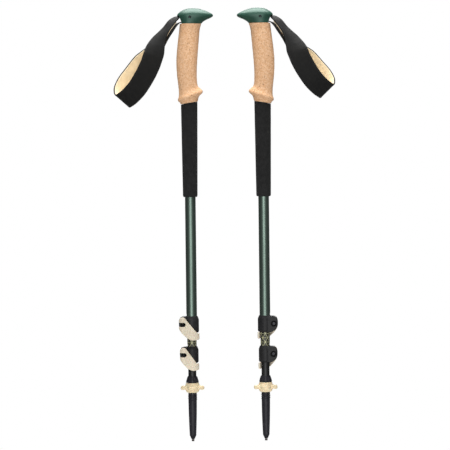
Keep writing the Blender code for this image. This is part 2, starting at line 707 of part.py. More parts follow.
def make_shapes():
    """Each piece's mesh and material, made once and shared by the two poles."""
    upper, middle, lower = (size[0] for size in (UPPER_TUBE, MIDDLE_TUBE, LOWER_TUBE))
    return {
        "grip_cap": (grip_cap(), "cap_green"),
        "grip_core": (grip_core(), "black_plastic"),
        "cork_grip": (cork_grip(), "cork"),
        "foam_sleeve": (foam_sleeve(), "foam_black"),
        "strap_pin": (strap_pin(), "steel"),
        "strap_anchor": (strap_anchor(), "webbing_black"),
        "strap_wedge": (strap_wedge(), "black_plastic"),
        "upper_tube": (clamped_tube(UPPER_TUBE), "anodised_green"),
        "middle_tube": (clamped_tube(MIDDLE_TUBE), "patterned_black"),
        "middle_end_plug": (middle_plug(), "black_plastic"),
        "lower_tube": (plain_tube(LOWER_TUBE), "anodised_black"),
        "lower_end_plug": (lower_plug(), "black_plastic"),
        "upper_clamp_collar": (clamp_collar(upper, middle), "black_plastic"),
        "upper_clamp_lever": (clamp_lever(upper), "cream_plastic"),
        "upper_clamp_screw": (clamp_screw(upper), "steel"),
        "lower_clamp_collar": (clamp_collar(middle, lower), "black_plastic"),
        "lower_clamp_lever": (clamp_lever(middle), "cream_plastic"),
        "lower_clamp_screw": (clamp_screw(middle), "steel"),
        "cam_pin": (cam_pin(), "steel"),
        "tip_ferrule": (tip_ferrule(), "black_plastic"),
        "carbide_point": (carbide_point(), "steel"),
        "basket": (basket(), "basket_cream"),
    }


class Pole:
    """Places one pole's pieces. Every piece is parented to an empty that stands on its joint's axis."""

    def __init__(self, side, shapes, materials, collection):
        self.side, self.shapes, self.materials, self.collection = side, shapes, materials, collection
        self.base = self.axis("pole", (0, 0, 0), None)

    def axis(self, name, location, parent):
        empty = bpy.data.objects.new(f"{self.side}_{name}_axis", None)
        empty.empty_display_size = 10 * MM
        empty.location = location
        empty.parent = parent
        self.collection.objects.link(empty)
        return empty

    def piece(self, name, mesh, material, parent):
        obj = bpy.data.objects.new(f"{self.side}_{name}", mesh)
        if not mesh.materials:
            mesh.materials.append(self.materials[material])
        mesh.shade_smooth()
        mesh.set_sharp_from_angle(angle=math.radians(35))
        obj.parent = parent
        self.collection.objects.link(obj)

    def shape(self, name, parent, shape=None):
        mesh, material = self.shapes[shape or name]
        self.piece(name, mesh, material, parent)

    def clamp(self, name, height, tube_radius, section):
        pin_x, pin_y = cam_pin_place(tube_radius)
        middle = self.axis(f"{name}_clamp", (0, 0, height), section)
        self.shape(f"{name}_clamp_collar", middle)
        pin = self.axis(f"{name}_cam_pin", (pin_x, pin_y, 0), middle)
        self.shape(f"{name}_cam_pin", pin, "cam_pin")
        self.shape(f"{name}_clamp_lever", self.axis(f"{name}_lever", (0, 0, 0), pin))
        self.shape(f"{name}_clamp_screw", self.axis(f"{name}_screw", (pin_x, 0, 0), middle))

    def build(self):
        for name in ("grip_cap", "grip_core", "cork_grip", "foam_sleeve", "upper_tube"):
            self.shape(name, self.base)
        for name in ("strap_pin", "strap_anchor", "strap_wedge"):
            self.shape(name, self.base)
        self.clamp("upper", UPPER_CLAMP_HEIGHT, UPPER_TUBE[0], self.base)

        strap = self.axis("strap", STRAP_HINGE, self.base)
        for name, layer, material in (
            ("strap_webbing", strap_webbing, "webbing_black"),
            ("strap_lining", strap_lining, "lining_cream"),
        ):
            mesh = layer(self.side)
            mesh.transform(Matrix.Translation(-STRAP_HINGE))
            self.piece(name, mesh, material, strap)

        middle = self.axis("middle_section", (0, 0, 0), self.base)
        self.shape("middle_tube", middle)
        self.shape("middle_end_plug", middle)
        self.clamp("lower", LOWER_CLAMP_HEIGHT, MIDDLE_TUBE[0], middle)

        lower = self.axis("lower_section", (0, 0, 0), middle)
        for name in ("lower_tube", "lower_end_plug", "tip_ferrule", "carbide_point"):
            self.shape(name, lower)
        self.shape("basket", self.axis("basket", (0, 0, 0), lower))


def main():
    for obj in list(bpy.data.objects):
        bpy.data.objects.remove(obj)
    collection = bpy.data.collections.new("trekking_poles")
    bpy.context.scene.collection.children.link(collection)
    shapes, materials = make_shapes(), make_materials()

    left = Pole("left", shapes, materials, collection)
    left.base.location = (0, 0, -HOLD_HEIGHT)
    left.build()

    right = Pole("right", shapes, materials, collection)
    right.base.location = (POLE_SPACING, 0, -HOLD_HEIGHT)
    right.base.rotation_euler.z = math.pi
    right.build()


main()
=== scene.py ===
# The looks of a pair of trekking poles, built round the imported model.
#
# Shapes are made in millimetres in a pole's own frame: +Z up from the point of the tip, +X towards the beak
# of the cap, -X towards the strap and -Y towards the clamp levers. show() puts them on each pole.

import json
import math
from math import pi, radians

import bmesh
import bpy
import numpy as np
from mathutils import Matrix, Vector, noise


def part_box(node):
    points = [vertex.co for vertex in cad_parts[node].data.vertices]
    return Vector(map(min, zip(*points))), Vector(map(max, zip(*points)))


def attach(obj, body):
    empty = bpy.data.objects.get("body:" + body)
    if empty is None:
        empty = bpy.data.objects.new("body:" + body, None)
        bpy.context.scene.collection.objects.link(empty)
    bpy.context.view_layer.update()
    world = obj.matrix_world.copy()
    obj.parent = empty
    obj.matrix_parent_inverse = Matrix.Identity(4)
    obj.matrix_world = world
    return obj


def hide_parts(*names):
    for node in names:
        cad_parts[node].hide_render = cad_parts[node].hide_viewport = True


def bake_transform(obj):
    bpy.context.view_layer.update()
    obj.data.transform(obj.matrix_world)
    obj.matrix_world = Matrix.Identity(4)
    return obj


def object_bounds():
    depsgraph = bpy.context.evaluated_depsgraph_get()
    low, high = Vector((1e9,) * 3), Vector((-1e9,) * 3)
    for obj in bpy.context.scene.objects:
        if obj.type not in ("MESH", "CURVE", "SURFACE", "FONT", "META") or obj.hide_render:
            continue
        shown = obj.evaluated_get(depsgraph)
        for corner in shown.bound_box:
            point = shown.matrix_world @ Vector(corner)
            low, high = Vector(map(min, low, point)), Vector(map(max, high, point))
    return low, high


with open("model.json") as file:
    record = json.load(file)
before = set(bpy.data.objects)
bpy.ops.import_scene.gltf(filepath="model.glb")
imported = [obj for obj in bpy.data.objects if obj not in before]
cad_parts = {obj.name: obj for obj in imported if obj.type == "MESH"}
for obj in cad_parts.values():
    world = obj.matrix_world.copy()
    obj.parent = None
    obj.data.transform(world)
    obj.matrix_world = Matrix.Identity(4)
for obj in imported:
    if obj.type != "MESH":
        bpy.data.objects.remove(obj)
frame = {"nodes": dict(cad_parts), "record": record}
cad_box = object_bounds()

MM = 0.001
BEYOND = 40  # a cutter's reach, past the outside of any piece it cuts
SIDES = ("left", "right")
MOUNTS = {mount["name"]: mount for mount in frame["record"]["mounts"]}
PLACE = {
    side: Matrix.Translation(MOUNTS[side + "_tip_face"]["pos_m"]) @ Matrix.Rotation(turn, 4, "Z")
    for side, turn in zip(SIDES, (0, pi))
}


def local_box(node):
    """A left node's lowest and highest corners in its pole's own frame, in millimetres."""
    low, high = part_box("left_" + node)
    origin = PLACE["left"].translation
    return (low - origin) / MM, (high - origin) / MM


def heights(node):
    low, high = local_box(node)
    return low.z, high.z


def outer_radius(node):
    return local_box(node)[1].y


# --- Mesh building ---


def linked(name, data):
    """A new object in the scene."""
    obj = bpy.data.objects.new(name, data)
    bpy.context.scene.collection.objects.link(obj)
    return obj


def finished(obj, weld=0.0005):
    """The object's mesh with its modifiers applied, welded and facing out. The object is removed."""
    bpy.context.view_layer.update()
    graph = bpy.context.evaluated_depsgraph_get()
    mesh = bpy.data.meshes.new_from_object(obj.evaluated_get(graph))
    mesh.transform(obj.matrix_world)
    bpy.data.objects.remove(obj)
    bm = bmesh.new()
    bm.from_mesh(mesh)
    bmesh.ops.remove_doubles(bm, verts=bm.verts, dist=weld)
    bmesh.ops.recalc_face_normals(bm, faces=bm.faces)
    bm.to_mesh(mesh)
    bm.free()
    return mesh


def skin(rings, hollow=False):
    """A skin over rings of equally many points, closed round each ring. Its UVs hold the share of the way
    round and the distance along in millimetres. The ends are capped or, if hollow, joined."""
    rings = np.asarray(rings, float)
    rows, count = rings.shape[:2]
    steps = np.linalg.norm(np.diff(rings, axis=0), axis=2).mean(axis=1)
    along = np.concatenate([[0], np.cumsum(steps)])
    faces, uvs = [], []
    for a in range(rows if hollow else rows - 1):
        b = (a + 1) % rows
        for i in range(count):
            j = (i + 1) % count
            faces.append((a * count + i, a * count + j, b * count + j, b * count + i))
            u, v = i / count, (i + 1) / count
            uvs += [(u, along[a]), (v, along[a]), (v, along[b]), (u, along[b])]
    if not hollow:
        for start in (0, (rows - 1) * count):
            faces.append(tuple(range(start, start + count)))
            uvs += [(0, along[-1])] * count
    mesh = bpy.data.meshes.new("skin")
    mesh.from_pydata(rings.reshape(-1, 3).tolist(), [], faces)
    layer = mesh.uv_layers.new(name="UVMap")
    layer.data.foreach_set("uv", np.array(uvs, np.float32).ravel())
    return finished(linked("working", mesh))


def circle(count):
    angles = 2 * pi * np.arange(count) / count
    return np.cos(angles), np.sin(angles)


def turned(profile, count=72, hollow=False, radius_at=None):
    """A shape about Z from (radius, height) points. radius_at can change the radius with the angle."""
    cos, sin = circle(count)
    rings = []
    for r, z in profile:
        if radius_at:
            r = np.array([radius_at(r, z, 2 * pi * i / count) for i in range(count)])
        rings.append(np.stack([r * cos, r * sin, np.full(count, z)], axis=1))
    return skin(rings, hollow)


def rounded(points, radius, steps=4, closed=False):
    """A polyline with its corners rounded by curves that start radius away from each corner."""
    made, last = [], len(points) - 1
    for i, point in enumerate(points):
        corner = Vector(point)
        if not closed and i in (0, last):
            made.append(tuple(corner))
            continue
        before, after = Vector(points[i - 1]) - corner, Vector(points[(i + 1) % (last + 1)]) - corner
        start = corner + before.normalized() * min(radius, 0.45 * before.length)
        end = corner + after.normalized() * min(radius, 0.45 * after.length)
        for k in range(steps + 1):
            t = k / steps
            made.append(tuple(start * (1 - t) ** 2 + corner * 2 * t * (1 - t) + end * t * t))
    return made


def smooth_rows(rows, steps):
    """Rows of numbers with steps rows for each one given, along a Catmull-Rom curve through them."""
    rows = np.array(rows, float)
    padded = np.vstack([2 * rows[0] - rows[1], rows, 2 * rows[-1] - rows[-2]])
    made = []
    for a, b, c, d in zip(padded, padded[1:], padded[2:], padded[3:]):
        for k in range(steps):
            t = k / steps
            made.append(b + 0.5 * t * (c - a + t * (2 * a - 5 * b + 4 * c - d + t * (3 * (b - c) + d - a))))
    return np.array(made + [rows[-1]])


def plate(outline, low, high, axis="Z"):
    """A flat outline made solid from low to high along an axis. Its points are places on the other two."""
    flat = np.array(outline, float)
    return skin([np.insert(flat, "XYZ".index(axis), level, axis=1) for level in (low, high)])


def box(low, high):
    (x0, y0, z0), (x1, y1, z1) = low, high
    return plate([(x0, y0), (x1, y0), (x1, y1), (x0, y1)], z0, z1)


def cylinder(radius, low, high, axis="Z", centre=(0, 0), count=48):
    """A cylinder from low to high along an axis, with its centre at a place on the other two."""
    return plate(centre + radius * np.stack(circle(count), axis=1), low, high, axis)


def arc(centre, radius, start, end, steps):
    angles = [radians(start + (end - start) * i / steps) for i in range(steps + 1)]
    return [(centre[0] + radius * math.cos(a), centre[1] + radius * math.sin(a)) for a in angles]


def polar(radius, degrees):
    return (radius * math.cos(radians(degrees)), radius * math.sin(radians(degrees)))


def boolean(operation, mesh, *others):
    for other in others:
        target, tool = linked("target", mesh), linked("tool", other)
        modifier = target.modifiers.new("boolean", "BOOLEAN")
        modifier.operation = operation
        modifier.object = tool
        mesh = finished(target)
        bpy.data.objects.remove(tool)
    return mesh


def cut(mesh, *cutters):
    return boolean("DIFFERENCE", mesh, *cutters)


def moulded(mesh, voxel, softness):
    """The mesh as a moulding: every edge rounded, over about a millimetre for a softness of 10."""
    obj = linked("working", mesh)
    remesh = obj.modifiers.new("remesh", "REMESH")
    remesh.mode = "VOXEL"
    remesh.voxel_size = voxel
    soften = obj.modifiers.new("soften", "SMOOTH")
    soften.factor = 0.5
    soften.iterations = softness
    return finished(obj, weld=0)


def freed(bm):
    mesh = bpy.data.meshes.new("made")
    bm.to_mesh(mesh)
    bm.free()
    return mesh


def joined(*meshes):
    bm = bmesh.new()
    for mesh in meshes:
        bm.from_mesh(mesh)
    return freed(bm)


# --- Materials ---


def srgb(*values):
    """A linear colour from 0-255 screen values."""
    made = []
    for value in values:
        share = value / 255
        made.append(share / 12.92 if share <= 0.04045 else ((share + 0.055) / 1.055) ** 2.4)
    return (*made, 1)


MATERIALS = {}


class Finish:
    """A material, with short calls for the nodes that make its pattern. Pattern sizes are millimetres."""

    def __init__(self, name, **sockets):
        self.material = MATERIALS[name] = bpy.data.materials.new(name)
        self.material.use_nodes = True
        self.tree = self.material.node_tree
        self.shader = self.tree.nodes["Principled BSDF"]
        for socket, value in sockets.items():
            self.shader.inputs[socket.replace("_", " ")].default_value = value
        coordinates = self.tree.nodes.new("ShaderNodeTexCoord")
        self.object, self.uv = coordinates.outputs["Object"], coordinates.outputs["UV"]
        self.normal = None

    def node(self, kind, inputs, output=0, **settings):
        node = self.tree.nodes.new("ShaderNode" + kind)
        for name, value in settings.items():
            setattr(node, name, value)
        for key, value in inputs.items():
            socket = node.inputs[key]
            if isinstance(value, bpy.types.NodeSocket):
                self.tree.links.new(value, socket)
            else:
                socket.default_value = value
        return node.outputs[output]

    def place(self, size, stretch=(1, 1, 1)):
        """The object's own coordinates in steps of a size in millimetres, times a stretch on each axis."""
        scale = [share / (size * MM) for share in stretch]
        return self.node("VectorMath", {0: self.object, 1: scale}, operation="MULTIPLY")

    def noise(self, size, detail=3, stretch=(1, 1, 1)):
        inputs = {"Vector": self.place(size, stretch), "Scale": 1, "Detail": detail, "Roughness": 0.55}
        return self.node("TexNoise", inputs)

    def cells(self, size, output="Distance", feature="F1"):
        inputs = {"Vector": self.place(size), "Scale": 1}
        return self.node("TexVoronoi", inputs, output, feature=feature)

    def uv_parts(self):
        return self.node("SeparateXYZ", {0: self.uv}).node.outputs[:2]

    def ramp(self, value, *stops):
        """Colours or greys along a value, from (position, colour) stops."""
        node = self.tree.nodes.new("ShaderNodeValToRGB")
        elements = node.color_ramp.elements
        while len(elements) < len(stops):
            elements.new(0.5)
        for element, (position, colour) in zip(elements, stops):
            element.position = position
            element.color = colour if isinstance(colour, tuple) else (colour, colour, colour, 1)
        self.tree.links.new(value, node.inputs[0])
        return node.outputs[0]

    def mix(self, factor, a, b, blend="MIX"):
        inputs = {0: factor, 6: a, 7: b}  # 6 and 7 are the node's colour inputs, and 2 its colour output
        return self.node("Mix", inputs, 2, data_type="RGBA", blend_type=blend)

    def calc(self, operation, *values):
        return self.node("Math", dict(enumerate(values)), operation=operation)

    def colour(self, value):
        self.tree.links.new(value, self.shader.inputs["Base Color"])

    def roughness(self, value, low, high):
        spread = self.node("MapRange", {"Value": value, "To Min": low, "To Max": high})
        self.tree.links.new(spread, self.shader.inputs["Roughness"])

    def bump(self, height, depth, strength=1):
        """Relief that is depth millimetres deep where height goes from 0 to 1."""
        inputs = {"Height": height, "Distance": depth * MM, "Strength": strength}
        if self.normal is not None:
            inputs["Normal"] = self.normal
        self.normal = self.node("Bump", inputs)
        self.tree.links.new(self.normal, self.shader.inputs["Normal"])


def cork():
    mat = Finish("cork", Roughness=0.85, Specular_IOR_Level=0.25)
    granule = mat.cells(1.9, "Color")
    shade = mat.node("SeparateColor", {"Color": granule})
    stops = (0, srgb(222, 172, 128)), (0.4, srgb(232, 186, 144)), (1, srgb(240, 200, 162))
    colour = mat.ramp(shade, *stops)
    blotch = mat.ramp(mat.noise(24, 3), (0.3, 0.94), (0.7, 1))
    colour = mat.mix(1, colour, blotch, "MULTIPLY")
    seams = mat.ramp(mat.cells(1.9, feature="DISTANCE_TO_EDGE"), (0, 1), (0.09, 0))
    broken = mat.ramp(mat.noise(3.5, 3), (0.42, 0), (0.7, 0.7))
    seam_share = mat.mix(1, seams, broken, "MULTIPLY")
    colour = mat.mix(seam_share, colour, srgb(182, 128, 86))
    specks = mat.ramp(mat.noise(1, 2, (1, 1, 0.5)), (0.6, 0), (0.69, 0.8))
    colour = mat.mix(specks, colour, srgb(160, 106, 68))
    pores = mat.ramp(mat.noise(2.6, 2, (1, 1, 0.4)), (0.66, 0), (0.73, 0.75))
    colour = mat.mix(pores, colour, srgb(136, 88, 56))
    mat.colour(colour)
    mat.bump(seam_share, 0.12, 0.5)
    mat.bump(mat.mix(0.5, specks, pores), -0.3, 0.8)
    mat.bump(mat.noise(0.6, 4), 0.1, 0.6)
    mat.roughness(mat.noise(5, 3), 0.7, 0.95)


def cap_green():
    mat = Finish("cap_green", Specular_IOR_Level=0.55, Coat_Weight=0.1, Coat_Roughness=0.42)
    mat.shader.inputs["Specular Tint"].default_value = (0.75, 1, 0.88, 1)
    tone = mat.ramp(mat.noise(9, 4), (0.3, srgb(32, 66, 54)), (0.7, srgb(37, 75, 62)))
    scuffs = mat.ramp(mat.noise(1.2, 3), (0.4, 0), (0.8, 0.15))
    mat.colour(mat.mix(scuffs, tone, srgb(66, 98, 86)))
    mat.roughness(mat.noise(3, 4), 0.42, 0.5)
    mat.bump(mat.cells(0.7), 0.02, 0.3)


def foam_black():
    mat = Finish("foam_black", Specular_IOR_Level=0.06, Sheen_Weight=0.03, Sheen_Roughness=0.6)
    tone = mat.ramp(mat.noise(6, 5), (0.25, srgb(31, 31, 31)), (0.75, srgb(42, 42, 42)))
    pores = mat.ramp(mat.cells(0.55), (0, 1), (0.35, 0))
    pore_share = mat.mix(1, pores, (0.5, 0.5, 0.5, 1), "MULTIPLY")
    mat.colour(mat.mix(pore_share, tone, srgb(20, 20, 20)))
    mat.roughness(mat.noise(2.5, 4), 0.82, 0.98)
    mat.bump(mat.cells(0.55), 0.07, 0.5)
    mat.bump(mat.noise(3.5, 4), 0.12, 0.3)


def anodised(name, dark, light, roughness):
    """Satin anodising over a drawn tube: hair-fine lines run along it."""
    mat = Finish(name, Metallic=1, Coat_Weight=0.2, Coat_Roughness=0.3)
    lines = mat.noise(0.35, 3, (1, 1, 0.012))
    cloud = mat.noise(22, 4, (1, 1, 0.3))
    tone = mat.ramp(lines, (0.3, dark), (0.7, light))
    mat.colour(mat.mix(mat.ramp(cloud, (0.35, 0), (0.75, 0.35)), tone, dark))
    mat.roughness(mat.mix(0.5, lines, cloud), roughness - 0.06, roughness + 0.08)
    mat.bump(lines, 0.012, 0.4)


def patterned_black(height_step, count):
    """A black tube printed with a plain triangular lattice. The UVs hold the share round and the height."""
    mat = Finish("patterned_black", Metallic=0.3)
    round_share, height = mat.uv_parts()
    round_share = mat.calc("MULTIPLY", round_share, count)
    height = mat.calc("DIVIDE", height, height_step)
    half = mat.calc("MULTIPLY", height, 0.5)
    lines = []
    for value, width in (
        (height, 0.03),
        (mat.calc("ADD", round_share, half), 0.034),
        (mat.calc("SUBTRACT", round_share, half), 0.034),
    ):
        far = mat.calc("ABSOLUTE", mat.calc("SUBTRACT", mat.calc("FRACT", value), 0.5))
        lines.append(mat.ramp(far, (0.5 - 1.8 * width, 0), (0.5 - width, 1)))
    print_mask = mat.mix(1, mat.mix(1, lines[0], lines[1], "LIGHTEN"), lines[2], "LIGHTEN")
    worn = mat.ramp(mat.noise(1.6, 4), (0.3, 0.65), (0.6, 1))
    print_mask = mat.mix(1, print_mask, worn, "MULTIPLY")
    streak = mat.noise(0.35, 3, (1, 1, 0.012))
    ground = mat.ramp(streak, (0.3, srgb(44, 44, 39)), (0.7, srgb(58, 58, 51)))
    ink = mat.ramp(mat.noise(4, 2), (0.35, srgb(178, 180, 145)), (0.65, srgb(208, 206, 160)))
    mat.colour(mat.mix(print_mask, ground, ink))
    mat.roughness(print_mask, 0.42, 0.55)
    mat.bump(print_mask, 0.03, 0.5)


def clouded(name, dark, light, cloud, rough, sockets):
    """A finish between two tones. cloud is its noise, and rough its roughness: a noise, lowest, highest."""
    mat = Finish(name, **sockets)
    mat.colour(mat.ramp(mat.noise(*cloud), (0.3, dark), (0.7, light)))
    mat.roughness(mat.noise(*rough[0]), *rough[1:])
    return mat


def moulded_plastic(name, dark, light, roughness, grain, specular):
    rough = (1.5, 3), roughness - 0.06, roughness + 0.06
    mat = clouded(name, dark, light, (5, 4), rough, {"Specular_IOR_Level": specular})
    mat.bump(mat.cells(grain), 0.03, 0.5)


def cream_plastic(name, tint):
    """Pale moulded plastic: slightly uneven, with faint flow marks and a little grime in its grain."""
    mat = Finish(name, Specular_IOR_Level=0.4, Subsurface_Weight=0.06, Subsurface_Scale=0.002)
    light, dark = srgb(*tint), srgb(*[value - 8 for value in tint])
    tone = mat.ramp(mat.noise(11, 4), (0.3, dark), (0.65, light))
    flecks = mat.ramp(mat.noise(0.5, 3), (0.6, 0), (0.8, 0.12))
    mat.colour(mat.mix(flecks, tone, srgb(*[value - 45 for value in tint])))
    mat.roughness(mat.noise(2.5, 3), 0.42, 0.55)
    mat.bump(mat.noise(0.45, 3), 0.015, 0.4)


WARP_PITCH, WEFT_PITCH = 0.8, 1.3


def webbing_black():
    """Tight woven webbing. The UVs hold millimetres across and along."""
    mat = Finish("webbing_black", Specular_IOR_Level=0.2, Sheen_Weight=0.04, Sheen_Roughness=0.5)
    across, along = mat.uv_parts()
    warp = mat.calc("SINE", mat.calc("MULTIPLY", across, 2 * pi / WARP_PITCH))
    phase = mat.calc("MULTIPLY", mat.calc("FLOOR", mat.calc("DIVIDE", across, WARP_PITCH)), pi)
    weft_angle = mat.calc("ADD", mat.calc("MULTIPLY", along, 2 * pi / WEFT_PITCH), phase)
    weft = mat.calc("SINE", weft_angle)
    weave = mat.calc("MULTIPLY_ADD", mat.calc("MULTIPLY", warp, weft), 0.3, 0.5)
    tone = mat.ramp(weave, (0.25, srgb(15, 15, 15)), (0.75, srgb(27, 27, 26)))
    dust = mat.ramp(mat.noise(7, 5), (0.35, 0), (0.8, 0.3))
    mat.colour(mat.mix(dust, tone, srgb(40, 39, 37)))
    mat.roughness(mat.noise(2, 3), 0.55, 0.7)
    mat.bump(weave, 0.12, 0.7)
    mat.bump(mat.noise(0.3, 2), 0.05, 0.4)


def lining_cream():
    mat = Finish("lining_cream", Specular_IOR_Level=0.2, Sheen_Weight=0.25, Sheen_Roughness=0.45)
    tone = mat.ramp(mat.noise(8, 5), (0.3, srgb(230, 211, 176)), (0.7, srgb(244, 227, 195)))
    nap = mat.ramp(mat.noise(0.8, 4, (1, 1, 0.5)), (0.35, 0.35), (0.65, 0))
    mat.colour(mat.mix(nap, tone, srgb(212, 190, 152)))
    mat.roughness(mat.noise(1.5, 3), 0.85, 0.98)
    mat.bump(mat.noise(0.5, 4), 0.12, 0.7)
    mat.bump(mat.noise(5, 3), 0.3, 0.3)


def thread(name, dark, light):
    sockets = {"Specular_IOR_Level": 0.3, "Sheen_Weight": 0.1}
    mat = clouded(name, dark, light, (0.4, 2), ((0.6, 2), 0.6, 0.8), sockets)
    mat.bump(mat.noise(0.15, 2), 0.05, 0.5)


def metal(name, dark, light, roughness):
    rough = (0.7, 3), roughness - 0.08, roughness + 0.1
    mat = clouded(name, dark, light, (1.4, 4), rough, {"Metallic": 1.0})
    mat.bump(mat.noise(0.3, 3), 0.02, 0.4)


LATTICE_COUNT = 6
MIDDLE_R = outer_radius("middle_tube")
LATTICE_STEP = 2 * pi * MIDDLE_R / LATTICE_COUNT * math.sin(radians(60))

cork()
cap_green()
foam_black()
anodised("anodised_green", srgb(96, 113, 104), srgb(113, 131, 121), 0.42)
anodised("anodised_black", srgb(54, 54, 55), srgb(66, 66, 67), 0.6)
patterned_black(LATTICE_STEP, LATTICE_COUNT)
moulded_plastic("black_plastic", srgb(28, 28, 29), srgb(37, 37, 38), 0.48, 0.45, 0.18)
moulded_plastic("tip_plastic", srgb(30, 29, 34), srgb(38, 37, 42), 0.42, 0.6, 0.22)
cream_plastic("lever_cream", (205, 194, 174))
cream_plastic("basket_cream", (214, 196, 161))
webbing_black()
lining_cream()
thread("black_thread", srgb(26, 26, 26), srgb(46, 46, 46))
thread("cream_thread", srgb(205, 184, 146), srgb(228, 208, 170))
metal("steel", srgb(70, 70, 72), srgb(112, 112, 114), 0.35)
metal("blackened_steel", srgb(30, 30, 32), srgb(52, 52, 55), 0.32)
metal("carbide", srgb(104, 98, 96), srgb(140, 134, 130), 0.45)


# --- Putting pieces on the poles ---


def show(side, name, mesh, materials, slot, sharp):
    """One visible piece of a side's pole, placed in the shared frame."""
    obj = linked(f"{side}_{name}_visual", mesh)
    obj.matrix_world = PLACE[side]
    if not mesh.materials:
        for material in materials:
            mesh.materials.append(MATERIALS[material])
        mesh.shade_smooth()
        mesh.set_sharp_from_angle(angle=radians(sharp))
    return obj


def on_both(name, mesh, material, body, sharp=35, slot=None):
    """The same piece on each pole, riding on that pole's body and standing for the CAD node of its name.
    Edges over sharp degrees are shaded as edges. The slot argument is not used."""
    mesh.transform(Matrix.Scale(MM, 4))
    for side in SIDES:
        obj = show(side, name, mesh, [material], slot or material, sharp)
        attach(obj, f"{side}_{body}")
        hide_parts(f"{side}_{name}")


# --- Grip ---

GRIP_ROUND = 96


def egg_ring(front, back, half_width, front_height, back_height, widest=0):
    """An egg-shaped ring. It reaches front along +X and back along -X, and leans between two heights."""
    cos, sin = circle(GRIP_ROUND)
    x = widest + np.where(cos > 0, front - widest, back + widest) * cos
    z = back_height + (front_height - back_height) * (x + back) / (front + back)
    return np.stack([x, half_width * sin, z], axis=1)


def bore_ring(radius, like):
    """The ring of a round bore that ends in the plane of another ring."""
    cos, sin = circle(GRIP_ROUND)
    front, back = like[0], like[GRIP_ROUND // 2]
    z = back[2] + (front[2] - back[2]) * (radius * cos - back[0]) / (front[0] - back[0])
    return np.stack([radius * cos, radius * sin, z], axis=1)


# Cork sections: front height and reach, back height and reach, half width
CORK_SECTIONS = (
    (626.2, 19.5, 626.2, 12.8, 14.8),
    (617, 17, 617, 13.7, 14.4),
    (605, 15.8, 605, 15.2, 14.6),
    (588, 14.3, 588, 17.3, 14.9),
    (570, 12.8, 570, 18.5, 15.1),
    (554, 12, 553, 18, 14.8),
    (541, 12.2, 537, 16.4, 14.2),
    (533, 13.5, 525, 15.2, 14.1),
    (529.4, 17.2, 517.6, 15.5, 15.4),
    (527, 19.8, 514.4, 16.5, 16.9),
    (524.4, 20.6, 512, 16.8, 17.6),
    (522, 19.3, 510.2, 15.9, 16.6),
    (517.5, 14.9, 508.2, 13.7, 14),
    (510, 12.8, 506, 12.7, 12.9),
)


CORK_RIPPLES = ((0.3, 0.16), (0.9, 0.09))  # how often a noise repeats in a millimetre, and its height
CORK_INSET = 0.05
PIT_SCALE, PIT_START, PIT_DEPTH, PIT_SHIFT = 0.55, 0.35, 1.1, Vector((40, 7, 3))


def cork_grip():
    rings = []
    for front_height, front, back_height, back, half_width in smooth_rows(CORK_SECTIONS, 9):
        rings.append(egg_ring(front, back, half_width, front_height, back_height))
    top, bottom = rings[0], rings[-1]
    bore = outer_radius("grip_core") + 0.4
    mesh = skin(rings + [bore_ring(bore, bottom), bore_ring(bore, top)], hollow=True)
    low, high = bottom[:, 2].max(), top[:, 2].min() - 0.5  # the ends stay smooth where they meet cap and foam
    for vertex in mesh.vertices:
        place = vertex.co
        if low < place.z < high:
            ripple = sum(noise.noise(place * scale) * height for scale, height in CORK_RIPPLES)
            pit = max(0, noise.noise(place * PIT_SCALE + PIT_SHIFT) - PIT_START) * PIT_DEPTH
            vertex.co = place + vertex.normal * (ripple - pit - CORK_INSET)
    return mesh


FOAM_TOP_FRONT, FOAM_TOP_BACK, FOAM_SHOULDER = 509.3, 505.3, 505
FOAM_FOOT = ((11, 3), (10.9, 1.9), (10.6, 1), (10.1, 0.35), (9.4, 0.05), (8.9, 0))  # radius, height
FOAM_SWELL, FOAM_SWELL_SCALE = 0.07, 0.07


def foam_sleeve():
    def ring(radius, front_height, back_height):
        return egg_ring(radius, radius, radius, front_height, back_height)

    low = heights("foam_sleeve")[0]
    top_r, foot_r = outer_radius("foam_sleeve"), FOAM_FOOT[0][0]
    bore = outer_radius("upper_tube") + 0.25
    top = ring(top_r, FOAM_TOP_FRONT, FOAM_TOP_BACK)
    rings = [bore_ring(bore, top), ring(top_r - 0.4, FOAM_TOP_FRONT + 0.2, FOAM_TOP_BACK + 0.2), top]
    for share in np.linspace(0.05, 1, 60):
        radius = top_r + (foot_r - top_r) * share
        height = FOAM_SHOULDER + (low + 4 - FOAM_SHOULDER) * share
        radius += FOAM_SWELL * noise.noise(Vector((0, 0, height * FOAM_SWELL_SCALE)))
        rings.append(ring(radius, height, height))
    rings += [ring(radius, low + up, low + up) for radius, up in (*FOAM_FOOT, (bore, 0))]
    return skin(rings, hollow=True)


# Cap sections: height, front reach, back reach, half width, station of the widest point
CAP_SECTIONS = (
    (626.6, 20, 13, 14.8, 1),
    (629, 22.2, 13.4, 15, 1),
    (631.5, 26.4, 14, 15.4, 1),
    (633.6, 31, 14.9, 15.8, 1),
    (635.4, 34.8, 15.8, 16.1, 1),
    (637, 36.8, 16.5, 16.3, 1),
    (638.6, 37.3, 16.8, 16.3, 1),
    (640.2, 36.4, 16.3, 15.9, 1.5),
    (642, 34, 15, 15.2, 2),
    (644.5, 29, 12, 13.2, 3),
    (647, 22.4, 7.6, 9.9, 4),
    (648.8, 16, 2.6, 5.9, 5.5),
    (649.5, 9.5, -3.4, 1.6, 6),
)
POCKET_HALF = 8.7
POCKET = ((-25, 620), (6.8, 620), (6.8, 639.5), (-9.5, 639.5), (-17.2, 637.1), (-25, 634.6))
PIN_X, PIN_HEIGHT = 2.5, 635.5
STRAP_PIN_R, STRAP_PIN_HOLE_R = 1.6, 1.8


